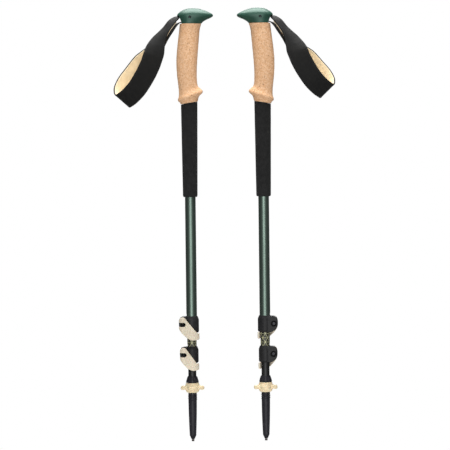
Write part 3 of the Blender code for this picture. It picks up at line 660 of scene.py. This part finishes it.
def grip_cap():
    rings = []
    for height, front, back, half_width, widest in smooth_rows(CAP_SECTIONS, 5):
        rings.append(egg_ring(front, back, half_width, height, height, widest))
    pocket = plate(POCKET, -POCKET_HALF, POCKET_HALF, "Y")
    cross_hole = cylinder(STRAP_PIN_HOLE_R, -BEYOND, BEYOND, "Y", (PIN_X, PIN_HEIGHT), 32)
    return moulded(cut(skin(rings), pocket, cross_hole), voxel=0.4, softness=6)


def strap_pin():
    """The pin across the cap: chamfered ends, with a small dimple in one."""
    reach, radius, chamfer, dimple = local_box("strap_pin")[1].y, STRAP_PIN_R, 0.4, 0.6
    shoulder = radius - chamfer
    profile = [(0, -reach), (shoulder, -reach), (radius, chamfer - reach), (radius, reach - chamfer)]
    profile += [(shoulder, reach), (dimple, reach), (dimple - 0.1, reach - dimple), (0, reach - dimple)]
    mesh = turned(profile, 32)
    mesh.transform(Matrix.Translation((PIN_X, 0, PIN_HEIGHT)) @ Matrix.Rotation(pi / 2, 4, "X"))
    return mesh


# --- Strap ---

# Stations along the loop, from the cap's slot round to the slot again: the middle of the webbing (x, y, z)
# and its width, then how far its width direction turns from across the pole (-Y) to forward and down, and
# the slope of that second direction in the side view, both in degrees
STRAP_STATIONS = (
    (-16.1, 0, 635.4, 16, 20, 54),
    (-20, -0.8, 633.2, 16, 30, 50),
    (-26, -2.5, 627.7, 16, 42, 42),
    (-33.2, -4, 618.2, 16, 46, 36),
    (-39, -6, 610.5, 17, 62, 26),
    (-44.3, -8.5, 602.8, 21, 82, 16),
    (-48, -12, 593.5, 26.5, 98, 16),
    (-50.5, -14.5, 585, 31, 108, 17),
    (-53, -16.5, 577, 32.5, 114, 20),
    (-57.5, -18, 564.5, 32.5, 114, 26),
    (-65, -18.5, 549.5, 32.5, 114, 33),
    (-76, -16.5, 532, 32, 114, 38),
    (-87.5, -12, 519.5, 31.5, 114, 41),
    (-95.8, -6.5, 513.4, 31, 114, 42),
    (-100, 0, 512, 31, 114, 42),
    (-102, 7, 516.3, 31, 114, 41),
    (-101.5, 12.5, 524.6, 31, 114, 40),
    (-95.5, 17, 537.5, 31.5, 114, 40),
    (-84, 19, 552.5, 32, 114, 40),
    (-71, 17.5, 568.5, 32, 114, 41),
    (-63, 14.8, 575.8, 30, 113, 42),
    (-56, 12.5, 582, 27, 107, 42),
    (-49, 10, 589.5, 22, 92, 42),
    (-42.5, 7.5, 597.5, 18, 70, 41),
    (-36.2, 5, 605.6, 16.5, 52, 41),
    (-30.5, 3, 611.8, 16, 38, 42),
    (-24.8, 1.5, 618, 16, 27, 47),
    (-18.8, 0.4, 624.2, 16, 15, 54),
    (-13.5, 0, 627.9, 16, 5, 60),
)
# The webbing's run inside the cap, to and from the front of the strap's pin
ANCHOR_IN = ((5.2, 635.6), (4.4, 637.4), (2.5, 638.2), (-5, 638.2), (-11, 637.4))
ANCHOR_OUT = ((-8, 629.1), (-3, 630.6), (2.5, 632.8), (4.4, 633.6), (5.2, 635.3))
STRAP_NECK = Vector((-35, 0, 602))
STRAP_LENGTHWISE = Vector((-65, 0, -90)).normalized()
STRAP_SIDEWAYS = STRAP_LENGTHWISE.cross(Vector((0, 1, 0)))
STRAP_FADE = 35  # the distance below the neck where a pose takes full effect
# How each strap hangs below its neck: degrees lifted, shares of its length and spread, degrees rolled
STRAP_POSES = {"left": (0, 1, 1, 0), "right": (2.5, 0.9, 1.12, 5)}
STRAP_THICKNESS = 1.5
LINING_THICKNESS = 2.0
LINING_MARGIN = 0.9
LINING_SHARES = (2 / 52, 42 / 52)  # of the way round the loop, as the next one
STITCHED_SHARES = (0.06, 0.93)
STITCH_MARGIN = 2.1
STEPS = 9  # rows for each station
BEND_START, BEND_END = Vector((-14, 0, 629)), Vector((-36, 0, 604))
UV_BLOCK = 4000  # points placed at once, to save memory


class Band:
    """A run of strap: where its middle is, which way its width and its inner face point, and its width."""

    def __init__(self, side, stations):
        raised, length, spread, rolled = STRAP_POSES[side]
        rows = smooth_rows(stations, STEPS)
        self.middle, self.across, self.width = [], [], rows[:, 3]
        for x, y, z, _, turn, slope in rows:
            offset = Vector((x, y, z)) - STRAP_NECK
            along, sideways = offset.dot(STRAP_LENGTHWISE), offset.dot(STRAP_SIDEWAYS)
            fade = min(max(along / STRAP_FADE, 0), 1)
            fade *= fade * (3 - 2 * fade)
            along *= 1 + (length - 1) * fade
            y *= 1 + (spread - 1) * fade
            roll = Matrix.Rotation(radians(rolled * fade), 3, STRAP_LENGTHWISE)
            lift = Matrix.Rotation(radians(raised * fade), 3, "Y")
            turn, slope = radians(turn), radians(slope)
            side_turn = math.sin(turn)
            across = Vector((math.cos(slope) * side_turn, -math.cos(turn), -math.sin(slope) * side_turn))
            offset = along * STRAP_LENGTHWISE + sideways * STRAP_SIDEWAYS + Vector((0, y, 0))
            self.middle.append(STRAP_NECK + lift @ roll @ offset)
            self.across.append(lift @ roll @ across)
        self.middle, self.across = np.array(self.middle), np.array(self.across)
        run = np.gradient(self.middle, axis=0)
        self.inward = np.cross(self.across, run)
        self.inward /= np.linalg.norm(self.inward, axis=1)[:, None]
        if side == "right":
            for values in (self.middle, self.across, self.inward):
                values[:, 1] *= -1
        steps = np.linalg.norm(np.diff(self.middle, axis=0), axis=1)
        self.along = np.concatenate([[0], np.cumsum(steps)])

    def part(self, first, last):
        """The same band between two shares of its stations."""
        count = len(self.middle) - 1
        rows = slice(round(first * count), round(last * count) + 1)
        made = object.__new__(Band)
        for name in ("middle", "across", "width", "inward", "along"):
            setattr(made, name, getattr(self, name)[rows])
        return made

    def solid(self, section, margin=0):
        """The band swept with a section, given for half a width as (across, inward) points."""
        rings = []
        for middle, across, inward, width in zip(self.middle, self.across, self.inward, self.width):
            rings.append([middle + a * across + d * inward for a, d in section(width / 2 - margin)])
        mesh = skin(rings)
        self.lay_uv(mesh)
        return mesh

    def lay_uv(self, mesh):
        """UVs in millimetres across and along the band."""
        layer = mesh.uv_layers[0].data
        points = np.array([vertex.co for vertex in mesh.vertices])
        values = np.zeros((len(points), 2))
        for start in range(0, len(points), UV_BLOCK):
            rows = slice(start, start + UV_BLOCK)
            block = points[rows]
            near = np.linalg.norm(block[:, None, :] - self.middle[None], axis=2).argmin(axis=1)
            values[rows, 0] = ((block - self.middle[near]) * self.across[near]).sum(axis=1)
            values[rows, 1] = self.along[near]
        loops = np.array([loop.vertex_index for loop in mesh.loops])
        layer.foreach_set("uv", values[loops].astype(np.float32).ravel())

    def at(self, reach, rows):
        return Vector([np.interp(reach, self.along, column) for column in rows.T])

    def stitches(self, from_edge, depth, radius=0.3, length=2.3, pitch=3.1):
        """Two rows of stitches near the band's edges, at a depth towards its inner face."""
        bm = bmesh.new()
        for side in (-1, 1):
            reach = self.along[0] + pitch
            while reach < self.along[-1] - pitch:
                middle = self.at(reach, self.middle)
                across, inward = (self.at(reach, rows).normalized() for rows in (self.across, self.inward))
                half = np.interp(reach, self.along, self.width) / 2 - from_edge
                run = (self.at(reach + 0.5, self.middle) - middle).normalized()
                place = middle + across * side * half + inward * depth
                turn = Matrix((run * (length / 2), across * radius, inward * radius)).transposed().to_4x4()
                made = bmesh.ops.create_uvsphere(bm, u_segments=8, v_segments=6, radius=1)
                bmesh.ops.transform(bm, matrix=Matrix.Translation(place) @ turn, verts=made["verts"])
                reach += pitch
        return freed(bm)


def band_section(thickness, crown, middle_depth):
    """A band's outline across: flat outside, crowned inside, with round edges."""
    face, edge = thickness / 2, min(0.5 * thickness, 0.75)
    shares = np.linspace(-1, 1, 13)

    def outline(half):
        flat = half - edge
        points = [(flat * share, -face) for share in shares]
        points += [(flat + edge * a, face * d) for a, d in arc((0, 0), 1, -60, 60, 4)]
        points += [(flat * share, face + crown * (1 - share**4)) for share in shares[::-1]]
        points += [(edge * a - flat, face * d) for a, d in arc((0, 0), 1, 120, 240, 4)]
        return [(a, d + middle_depth) for a, d in points]

    return outline


def with_stitches(band_mesh, stitch_mesh):
    """The two meshes as one, with the stitches on the second material."""
    mesh = joined(band_mesh, stitch_mesh)
    for face in mesh.polygons[len(band_mesh.polygons) :]:
        face.material_index = 1
    return mesh


def strap(side):
    inside = [[(x, 0, z, 16, 0, 60) for x, z in run] for run in (ANCHOR_IN, ANCHOR_OUT)]
    loop = Band(side, STRAP_STATIONS)
    whole = Band(side, [*inside[0], *STRAP_STATIONS, *inside[1]])
    padded = loop.part(*LINING_SHARES)
    face = STRAP_THICKNESS / 2
    webbing = whole.solid(band_section(STRAP_THICKNESS, 0.05, 0))
    webbing = with_stitches(webbing, loop.part(*STITCHED_SHARES).stitches(STITCH_MARGIN, -face))
    depth = face + LINING_THICKNESS / 2
    lining = padded.solid(band_section(LINING_THICKNESS, 0.25, depth), LINING_MARGIN)
    lining_face = depth + LINING_THICKNESS / 2 + 0.05
    lining = with_stitches(lining, padded.stitches(LINING_MARGIN + 2, lining_face, 0.26))

    # The webbing and lining stand in for the CAD strap pieces; the bend points from the cap's slot to the
    # neck are worked out but not used
    start, end = PLACE[side] @ (BEND_START * MM), PLACE[side] @ (BEND_END * MM)
    for name, mesh, materials, replaced in (
        ("strap_webbing", webbing, ["webbing_black", "black_thread"], ["strap_webbing", "strap_anchor"]),
        ("strap_lining", lining, ["lining_cream", "cream_thread"], ["strap_lining"]),
    ):
        mesh.transform(Matrix.Scale(MM, 4))
        obj = show(side, name, mesh, materials, materials[0], sharp=60)
        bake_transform(obj)
        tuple(start)
        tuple(end)
        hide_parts(*[f"{side}_{node}" for node in replaced])


# --- Clamps, in a frame with the clamp's middle at the origin ---

GAP = 0.35
COLLAR_WALL = 2.45
COLLAR_LIP = 2.4
EAR_FRONT, EAR_REACH, EAR_SLIT = 4.8, 9, 1.4
CAM_PIN_R = 2.5
CAM_R, CAM_OFFSET, PIN_OUTSET = 5.9, 0.5, 2.4
LEVER_THICKNESS = 2.7
LEVER_SLOT_HEIGHT = 6.4
# The lever's curl round the collar: degrees round from +X, and how far outside the collar its middle is
LEVER_CURL = ((-100, 2.4), (-84, 2.3), (-70, 2.15), (-56, 2.15))
LEVER_CURL += ((-42, 1.6), (-26, 0.3), (-10, -0.7), (4, -0.9))
CLAMP_VOXEL = 0.32
SCREW_R, SCREW_PITCH = 1.45, 0.6
SCREW_HEAD_R, SCREW_HEAD_DEPTH, SCREW_HEAD_SEAT = 3.4, 3, 5.8
SOCKET_R, SOCKET_DEPTH = 2, 1.9


def collar_radius(tube_radius):
    return tube_radius + GAP + COLLAR_WALL


def cam_pin_place(tube_radius):
    return -(collar_radius(tube_radius) + PIN_OUTSET), -(EAR_FRONT + GAP + CAM_R + CAM_OFFSET)


def clamp_collar(tube_radius, inner_tube_radius, half):
    radius = collar_radius(tube_radius)
    end = -(radius + EAR_REACH)
    back = radius - 0.8
    ring = [(0, half), (tube_radius + 0.8, half), (radius - 0.9, half - 2.8), (radius, half - 5.2)]
    ring += [(radius, 2 - half), (radius - 0.8, 0.6 - half), (radius - 2.2, -half), (0, -half)]
    ears = rounded([(end, -EAR_FRONT), (0, -EAR_FRONT), (0, back), (end, back)], 3.2, 6, closed=True)
    side_view = [(radius, 0.8 - half), (radius, half - 0.8), (2, half - 0.8)]
    side_view += [(end + 7, half - 0.8), (end + 2.9, half - 2.3), (end + 0.5, half - 6.8)]
    side_view += [(end + 0.6, -2), (end + 1.8, -6), (end + 4.2, -9.2), (end + 10, -half)]
    side_view = rounded(side_view, 2.5, 4, closed=True)
    block = boolean("INTERSECT", plate(ears, -half, half), plate(side_view, -BEYOND, BEYOND, "Y"))
    body = boolean("UNION", turned(rounded(ring, 1)), block)

    screw_x = cam_pin_place(tube_radius)[0]
    bore = cylinder(tube_radius + 0.4, COLLAR_LIP - half, BEYOND, count=72)
    lip_bore = cylinder(inner_tube_radius + 0.4, -BEYOND, 0, count=72)
    slit = box((end - 1, -EAR_SLIT / 2, -BEYOND), (-inner_tube_radius, EAR_SLIT / 2, BEYOND))
    screw_hole = cylinder(SCREW_R + 0.4, -BEYOND, BEYOND, "Y", (screw_x, 0))
    counterbore = cylinder(SCREW_HEAD_R + 1.1, SCREW_HEAD_SEAT - 0.4, BEYOND, "Y", (screw_x, 0))
    return moulded(cut(body, bore, lip_bore, slit, screw_hole, counterbore), CLAMP_VOXEL, softness=5)


def clamp_lever(tube_radius):
    radius = collar_radius(tube_radius)
    pin_x, pin_y = cam_pin_place(tube_radius)
    cam_y = pin_y + CAM_OFFSET
    blade = [(pin_x, cam_y - CAM_R + LEVER_THICKNESS / 2)]
    blade += [polar(radius + beyond, degrees) for degrees, beyond in LEVER_CURL]
    blade = smooth_rows(blade, 5)
    slope = np.gradient(blade, axis=0)
    normal = np.stack([slope[:, 1], -slope[:, 0]], axis=1)
    normal *= LEVER_THICKNESS / 2 / np.linalg.norm(normal, axis=1)[:, None]
    outer, inner = blade + normal, (blade - normal)[::-1]
    # The depths differ a little so that no two faces of the solids lie in one plane
    cam = cylinder(CAM_R, 1 - BEYOND, BEYOND - 1, centre=(pin_x, cam_y), count=64)
    plan = boolean("UNION", plate(np.vstack([outer, inner]), -BEYOND, BEYOND), cam)
    left, right = pin_x - CAM_R - 0.2, radius + 0.9
    outline = [(left, -4), (left, 6.2), (left + 1.7, 9.3), (left + 4.6, 10.9), (left + 7.1, 10.6)]
    outline += [(left + 9.2, 9.6), (radius - 3.3, -12.3), (radius - 2.7, -13.1), (right, -13.3)]
    outline += arc((right - 2.4, -20.6), 2.4, 0, -80, 4)
    outline += [(0.5, -23.9), (-6.5, -20.6), (left + 4.7, -12.9), (left + 0.9, -7.6)]
    outline = rounded(outline, 1.8, 3, closed=True)
    lever = boolean("INTERSECT", plan, plate(outline, 2 - BEYOND, BEYOND - 2, "Y"))
    half_slot = LEVER_SLOT_HEIGHT / 2
    slot = [(-45, half_slot), (-45, -half_slot), *arc((pin_x + 1, 0), half_slot, -90, 90, 12)]
    pin_bore = cylinder(CAM_PIN_R + 0.35, -1 - BEYOND, BEYOND + 1, centre=(pin_x, pin_y))
    return moulded(cut(lever, plate(slot, -1 - BEYOND, BEYOND + 1, "Y"), pin_bore), CLAMP_VOXEL, softness=9)


def cam_pin(tube_radius):
    pin_x, pin_y = cam_pin_place(tube_radius)
    half, chamfer = 9, 0.6
    profile = [(0, half), (CAM_PIN_R - chamfer, half), (CAM_PIN_R, half - chamfer)]
    profile += [(CAM_PIN_R, chamfer - half), (CAM_PIN_R - chamfer, -half), (0, -half)]
    mesh = cut(turned(profile, 48), cylinder(SCREW_R + 0.25, -20, 20, "Y", (0, 0)))
    mesh.transform(Matrix.Translation((pin_x, pin_y, 0)))
    return mesh


def clamp_screw(tube_radius):
    """The tension screw: a hex socket in a low round head, and rings of thread in the cam pin."""
    pin_x, pin_y = cam_pin_place(tube_radius)
    top = SCREW_HEAD_SEAT + SCREW_HEAD_DEPTH
    profile = [(0, top), (2.5, top - 0.1), (3.1, top - 0.5), (SCREW_HEAD_R, top - 1.2)]
    profile += [(SCREW_HEAD_R, SCREW_HEAD_SEAT), (SCREW_R, SCREW_HEAD_SEAT), (SCREW_R, pin_y + 4)]
    height = pin_y + 4
    while height > pin_y - SCREW_PITCH:
        profile += [(SCREW_R, height), (SCREW_R - 0.22, height - SCREW_PITCH / 2)]
        height -= SCREW_PITCH
    profile += [(SCREW_R, pin_y - 0.9), (SCREW_R - 0.3, pin_y - 1.2), (0, pin_y - 1.2)]
    mesh = turned(profile, 48)
    mesh.transform(Matrix.Rotation(-pi / 2, 4, "X"))
    mesh = cut(mesh, cylinder(SOCKET_R, top - SOCKET_DEPTH, 20, "Y", (0, 0), 6))
    mesh.transform(Matrix.Translation((pin_x, 0, 0)))
    return mesh


def clamp(name, section, tube_radius, inner_tube_radius):
    low, high = heights(name + "_clamp_collar")
    middle, half = (low + high) / 2, (high - low) / 2
    for piece, mesh, material, body in (
        ("clamp_collar", clamp_collar(tube_radius, inner_tube_radius, half), "black_plastic", section),
        ("clamp_lever", clamp_lever(tube_radius), "lever_cream", name + "_lever"),
        ("cam_pin", cam_pin(tube_radius), "blackened_steel", section),
        ("clamp_screw", clamp_screw(tube_radius), "blackened_steel", name + "_screw"),
    ):
        mesh.transform(Matrix.Translation((0, 0, middle)))
        on_both(f"{name}_{piece}", mesh, material, body, sharp=50)


# --- Tubes, tip and basket ---

TUBE_WALL = 0.65
TUBE_SLOT = 23.5
TUBE_CHAMFER, TUBE_INNER_CHAMFER = (0.2, 0.3), (0.1, 0.2)  # across, along
RELIEF_HOLE_R = 2.6


def tube(node, slotted):
    low, high = heights(node)
    outer = outer_radius(node)
    inner = outer - TUBE_WALL
    (across, along), (inner_across, inner_along) = TUBE_CHAMFER, TUBE_INNER_CHAMFER
    profile = [(outer, high), (outer, low + along), (outer - across, low)]
    profile += [(inner + inner_across, low), (inner, low + inner_along), (inner, high)]
    mesh = turned(profile, 96, hollow=True)
    if not slotted:
        return mesh
    half_slot = EAR_SLIT / 2
    slot = box((-20, -half_slot, low - 2), (0, half_slot, low + TUBE_SLOT))
    relief = cylinder(RELIEF_HOLE_R, -20, 0, "X", (0, low + TUBE_SLOT), 32)
    return cut(mesh, slot, relief)


FERRULE_CORE_R, FERRULE_ROUND, FERRULE_FLUTES, FLUTE_DEPTH = 6.3, 80, 8, 0.55
FLUTE_LOW, FLUTE_HIGH = 88.6, 97.6
THREAD_DEPTH, THREAD_PITCH, THREAD_LOW, THREAD_HIGH = 0.75, 3.2, 61.5, 71.5
FINE_ABOVE, FINE_STEP, COARSE_STEP = 60, 0.25, 2  # rows are closer together where the thread and flutes are


def ferrule_radius(radius, height, angle):
    """The ferrule's radius with its flutes, for the fingers, and its thread, for the basket."""
    if FLUTE_LOW < height < FLUTE_HIGH:
        fade = min(1, (height - FLUTE_LOW) / 1.2, (FLUTE_HIGH - height) / 4)
        return radius - FLUTE_DEPTH * fade * (0.5 - 0.5 * math.cos(FERRULE_FLUTES * angle)) ** 2
    if THREAD_LOW < height < THREAD_HIGH:
        turn = ((height - THREAD_LOW) / THREAD_PITCH - angle / (2 * pi)) % 1
        ridge = max(0, 1 - abs(turn - 0.5) / 0.22)
        ends = min(1, (height - THREAD_LOW) / 1.5, (THREAD_HIGH - height) / 1.5)
        return radius + THREAD_DEPTH * min(1, 1.5 * ridge) * ends
    return radius


def tip_ferrule():
    low, high = heights("tip_ferrule")
    bore = outer_radius("lower_tube") + 0.3
    seat = heights("lower_tube")[0] - 0.3
    inside = [(0.01, seat), (bore, seat), (bore, high)]
    outside = [(6.8, high), (7.05, high - 0.3), (7.9, high - 2.4), (8.7, high - 4.9), (9.3, high - 7.2)]
    outside += [(9.6, high - 8.6), (9.55, high - 9.2), (9.2, high - 9.6), (FERRULE_CORE_R, high - 9.6)]
    taper = [(FERRULE_CORE_R, 75), (FERRULE_CORE_R, 60), (6.25, 54), (6.1, 44), (5.85, 34), (5.6, 26)]
    taper += [(5.35, 19), (5.1, 13), (4.95, 9.4), (4.9, 8.9), (4.6, 8.3), (2.6, low + 0.3), (2.2, low)]
    below = [(1.3, low), (1.3, 11), (0.01, 11)]
    path = [*inside, (bore + 0.3, high)]
    for (r0, z0), (r1, z1) in zip(outside + taper, (outside + taper)[1:]):
        steps = max(1, math.ceil(abs(z0 - z1) / (FINE_STEP if z1 >= FINE_ABOVE else COARSE_STEP)))
        path += [(r0 + (r1 - r0) * k / steps, z0 + (z1 - z0) * k / steps) for k in range(steps)]
    path += [taper[-1], *below]

    def radius_at(radius, height, angle):
        outer = radius > (bore if height > 70 else 2.2)
        return ferrule_radius(radius, height, angle) if outer else radius

    return turned(path, FERRULE_ROUND, radius_at=radius_at)


def carbide_point():
    """The hard point: a fluted nose with a dished end."""
    profile = [(0.01, 10.6), (1.15, 10.6), (1.15, 3), (1.9, 3), (2, 2.7), (2, 0.6), (1.85, 0.2)]
    profile += [(1.6, 0), (1.2, 0.05), (0.01, 0.35)]

    def radius_at(radius, height, angle):
        on_nose = radius > 1.5 and height < 2.8
        return radius - (0.2 * max(0, math.cos(8 * angle)) if on_nose else 0)

    return turned(profile, 64, radius_at=radius_at)


BASKET_ROUND, HUB_TOP_R, NOTCH_R, LOBE_ROOT_R, LOBE_END_R = 144, 7.2, 11.4, 8.2, 3.1
LOBE_HEIGHT, LOBE_DROOP, ROOT_HALF = 81.1, 0.12, 3.9


def basket():
    """The hub, and four lobes that droop and thicken towards their round ends."""
    low, high = heights("basket")
    reach = local_box("basket")[1].x - 0.1
    hub = [(HUB_TOP_R, high), (9.3, high), (9.9, high - 0.5), (10.1, high - 1.5), (9.8, high - 2.1)]
    hub += [(10.6, high - 3.2), (10.8, high - 5), (10.5, high - 8), (10.3, high - 10.5), (9.6, high - 13)]
    hub += [(8.4, low + 0.5), (7.6, low), (HUB_TOP_R, low)]
    sections = []
    for i in range(BASKET_ROUND):
        angle = 2 * pi * i / BASKET_ROUND
        lobe = (0.5 + 0.5 * math.cos(4 * angle)) ** 0.55
        end = NOTCH_R + (reach - NOTCH_R) * lobe
        outline = [(end - LOBE_END_R + a, d) for a, d in arc((0, 0), LOBE_END_R, -90, 90, 12)]
        section = []
        for r, z in [(LOBE_ROOT_R, -ROOT_HALF), *outline, (LOBE_ROOT_R, ROOT_HALF)]:
            thick = 0.84 + 0.26 * min(max((r - 11) / 5, 0), 1) * lobe
            height = LOBE_HEIGHT - LOBE_DROOP * (r - 10) + z * thick
            section.append((r * math.cos(angle), r * math.sin(angle), height))
        sections.append(section)
    mesh = joined(turned(hub, hollow=True), skin(sections, hollow=True))
    return moulded(mesh, voxel=0.34, softness=6)


# --- The pair ---

UPPER_R, LOWER_R = outer_radius("upper_tube"), outer_radius("lower_tube")

on_both("cork_grip", cork_grip(), "cork", "upper_section", sharp=40)
on_both("foam_sleeve", foam_sleeve(), "foam_black", "upper_section", sharp=50)
on_both("grip_cap", grip_cap(), "cap_green", "upper_section", sharp=60)
on_both("strap_pin", strap_pin(), "blackened_steel", "upper_section", slot="steel")
# A tube's chamfer is an edge, because normals shared with it would tilt the shading of the whole tube
on_both("upper_tube", tube("upper_tube", True), "anodised_green", "upper_section", sharp=25)
on_both("middle_tube", tube("middle_tube", True), "patterned_black", "middle_section", sharp=25)
on_both("lower_tube", tube("lower_tube", False), "anodised_black", "lower_section", sharp=25)
clamp("upper", "upper_section", UPPER_R, MIDDLE_R)
clamp("lower", "middle_section", MIDDLE_R, LOWER_R)
on_both("tip_ferrule", tip_ferrule(), "tip_plastic", "lower_section", sharp=50, slot="black_plastic")
on_both("carbide_point", carbide_point(), "carbide", "lower_section")
on_both("basket", basket(), "basket_cream", "basket_body", sharp=60)
for side in SIDES:
    strap(side)
    for node in ("grip_core", "strap_wedge", "middle_end_plug", "lower_end_plug"):
        carried = frame["nodes"][f"{side}_{node}"]
        carried.data.materials.clear()
        carried.data.materials.append(MATERIALS["black_plastic"])


# --- Floor, light and camera ---

FLOOR_R, FLOOR_ROUND, FLOOR_GAP = 0.4, 96, 0.0002  # metres

low_corner, high_corner = cad_box
middle = (low_corner + high_corner) / 2
floor_height = low_corner.z - FLOOR_GAP
floor_mesh = bpy.data.meshes.new("floor")
rim = [(middle.x + FLOOR_R * a, FLOOR_R * b, floor_height) for a, b in zip(*circle(FLOOR_ROUND))]
floor_mesh.from_pydata(rim, [], [tuple(range(FLOOR_ROUND))])
floor = linked("floor", floor_mesh)
# Drawn-out poles reach below the floor, so it only bounces soft light: it hides, mirrors and shades nothing
floor.visible_camera = floor.visible_glossy = floor.visible_shadow = False
mat = Finish("pale_floor", Roughness=0.9, Specular_IOR_Level=0.1)
mat.colour(mat.ramp(mat.noise(400, 2), (0.3, 0.8), (0.7, 0.84)))
floor_mesh.materials.append(mat.material)


def softbox(name, offset, width, height, power):
    """A soft light at an offset in metres from the middle of the pair, facing it. Its power is in watts."""
    data = bpy.data.lights.new(name, "AREA")
    data.shape = "RECTANGLE"
    data.size, data.size_y, data.energy = width, height, power
    lamp = linked(name, data)
    lamp.location = middle + Vector(offset)
    lamp.rotation_euler = (middle - lamp.location).to_track_quat("-Z", "Y").to_euler()


softbox("front_softbox", (0, -3, 0.2), 1.6, 3, 64)
softbox("top_softbox", (0, 0.2, 1.9), 1.8, 2.2, 100)
softbox("back_softbox", (0, 3, 0.5), 1, 2.6, 30)

# The background is white to the camera, and a dim white to everything else
AMBIENT, BACKGROUND = 0.15, 1.0

world = bpy.data.worlds.new("studio")
bpy.context.scene.world = world
world.use_nodes = True
nodes, links = world.node_tree.nodes, world.node_tree.links
nodes.clear()
path, blend, output = (nodes.new("ShaderNode" + kind) for kind in ("LightPath", "MixShader", "OutputWorld"))
links.new(path.outputs["Is Camera Ray"], blend.inputs[0])
for index, strength in ((1, AMBIENT), (2, BACKGROUND)):
    sky = nodes.new("ShaderNodeBackground")
    sky.inputs["Color"].default_value = (1, 1, 1, 1)
    sky.inputs["Strength"].default_value = strength
    links.new(sky.outputs[0], blend.inputs[index])
links.new(blend.outputs[0], output.inputs[0])
bpy.context.scene.view_settings.view_transform = "Standard"

LENS, SENSOR = 200, 36  # millimetres
VIEW_WIDTH = 0.675  # metres across the picture, at the poles
CAMERA_ELEVATION, CAMERA_ROLL = radians(1.5), radians(0.65)
AIM = Vector((0.0516, 0, -0.2455))

back = Vector((0, -math.cos(CAMERA_ELEVATION), math.sin(CAMERA_ELEVATION)))
camera = linked("camera", bpy.data.cameras.new("camera"))
camera.data.lens, camera.data.sensor_width = LENS, SENSOR
camera.location = AIM + back * (VIEW_WIDTH * LENS / SENSOR)
camera.rotation_mode = "QUATERNION"
roll = Matrix.Rotation(-CAMERA_ROLL, 3, "Z").to_quaternion()
camera.rotation_quaternion = (-back).to_track_quat("-Z", "Y") @ roll
camera.data.clip_start, camera.data.clip_end = 0.01, 100
bpy.context.scene.camera = camera
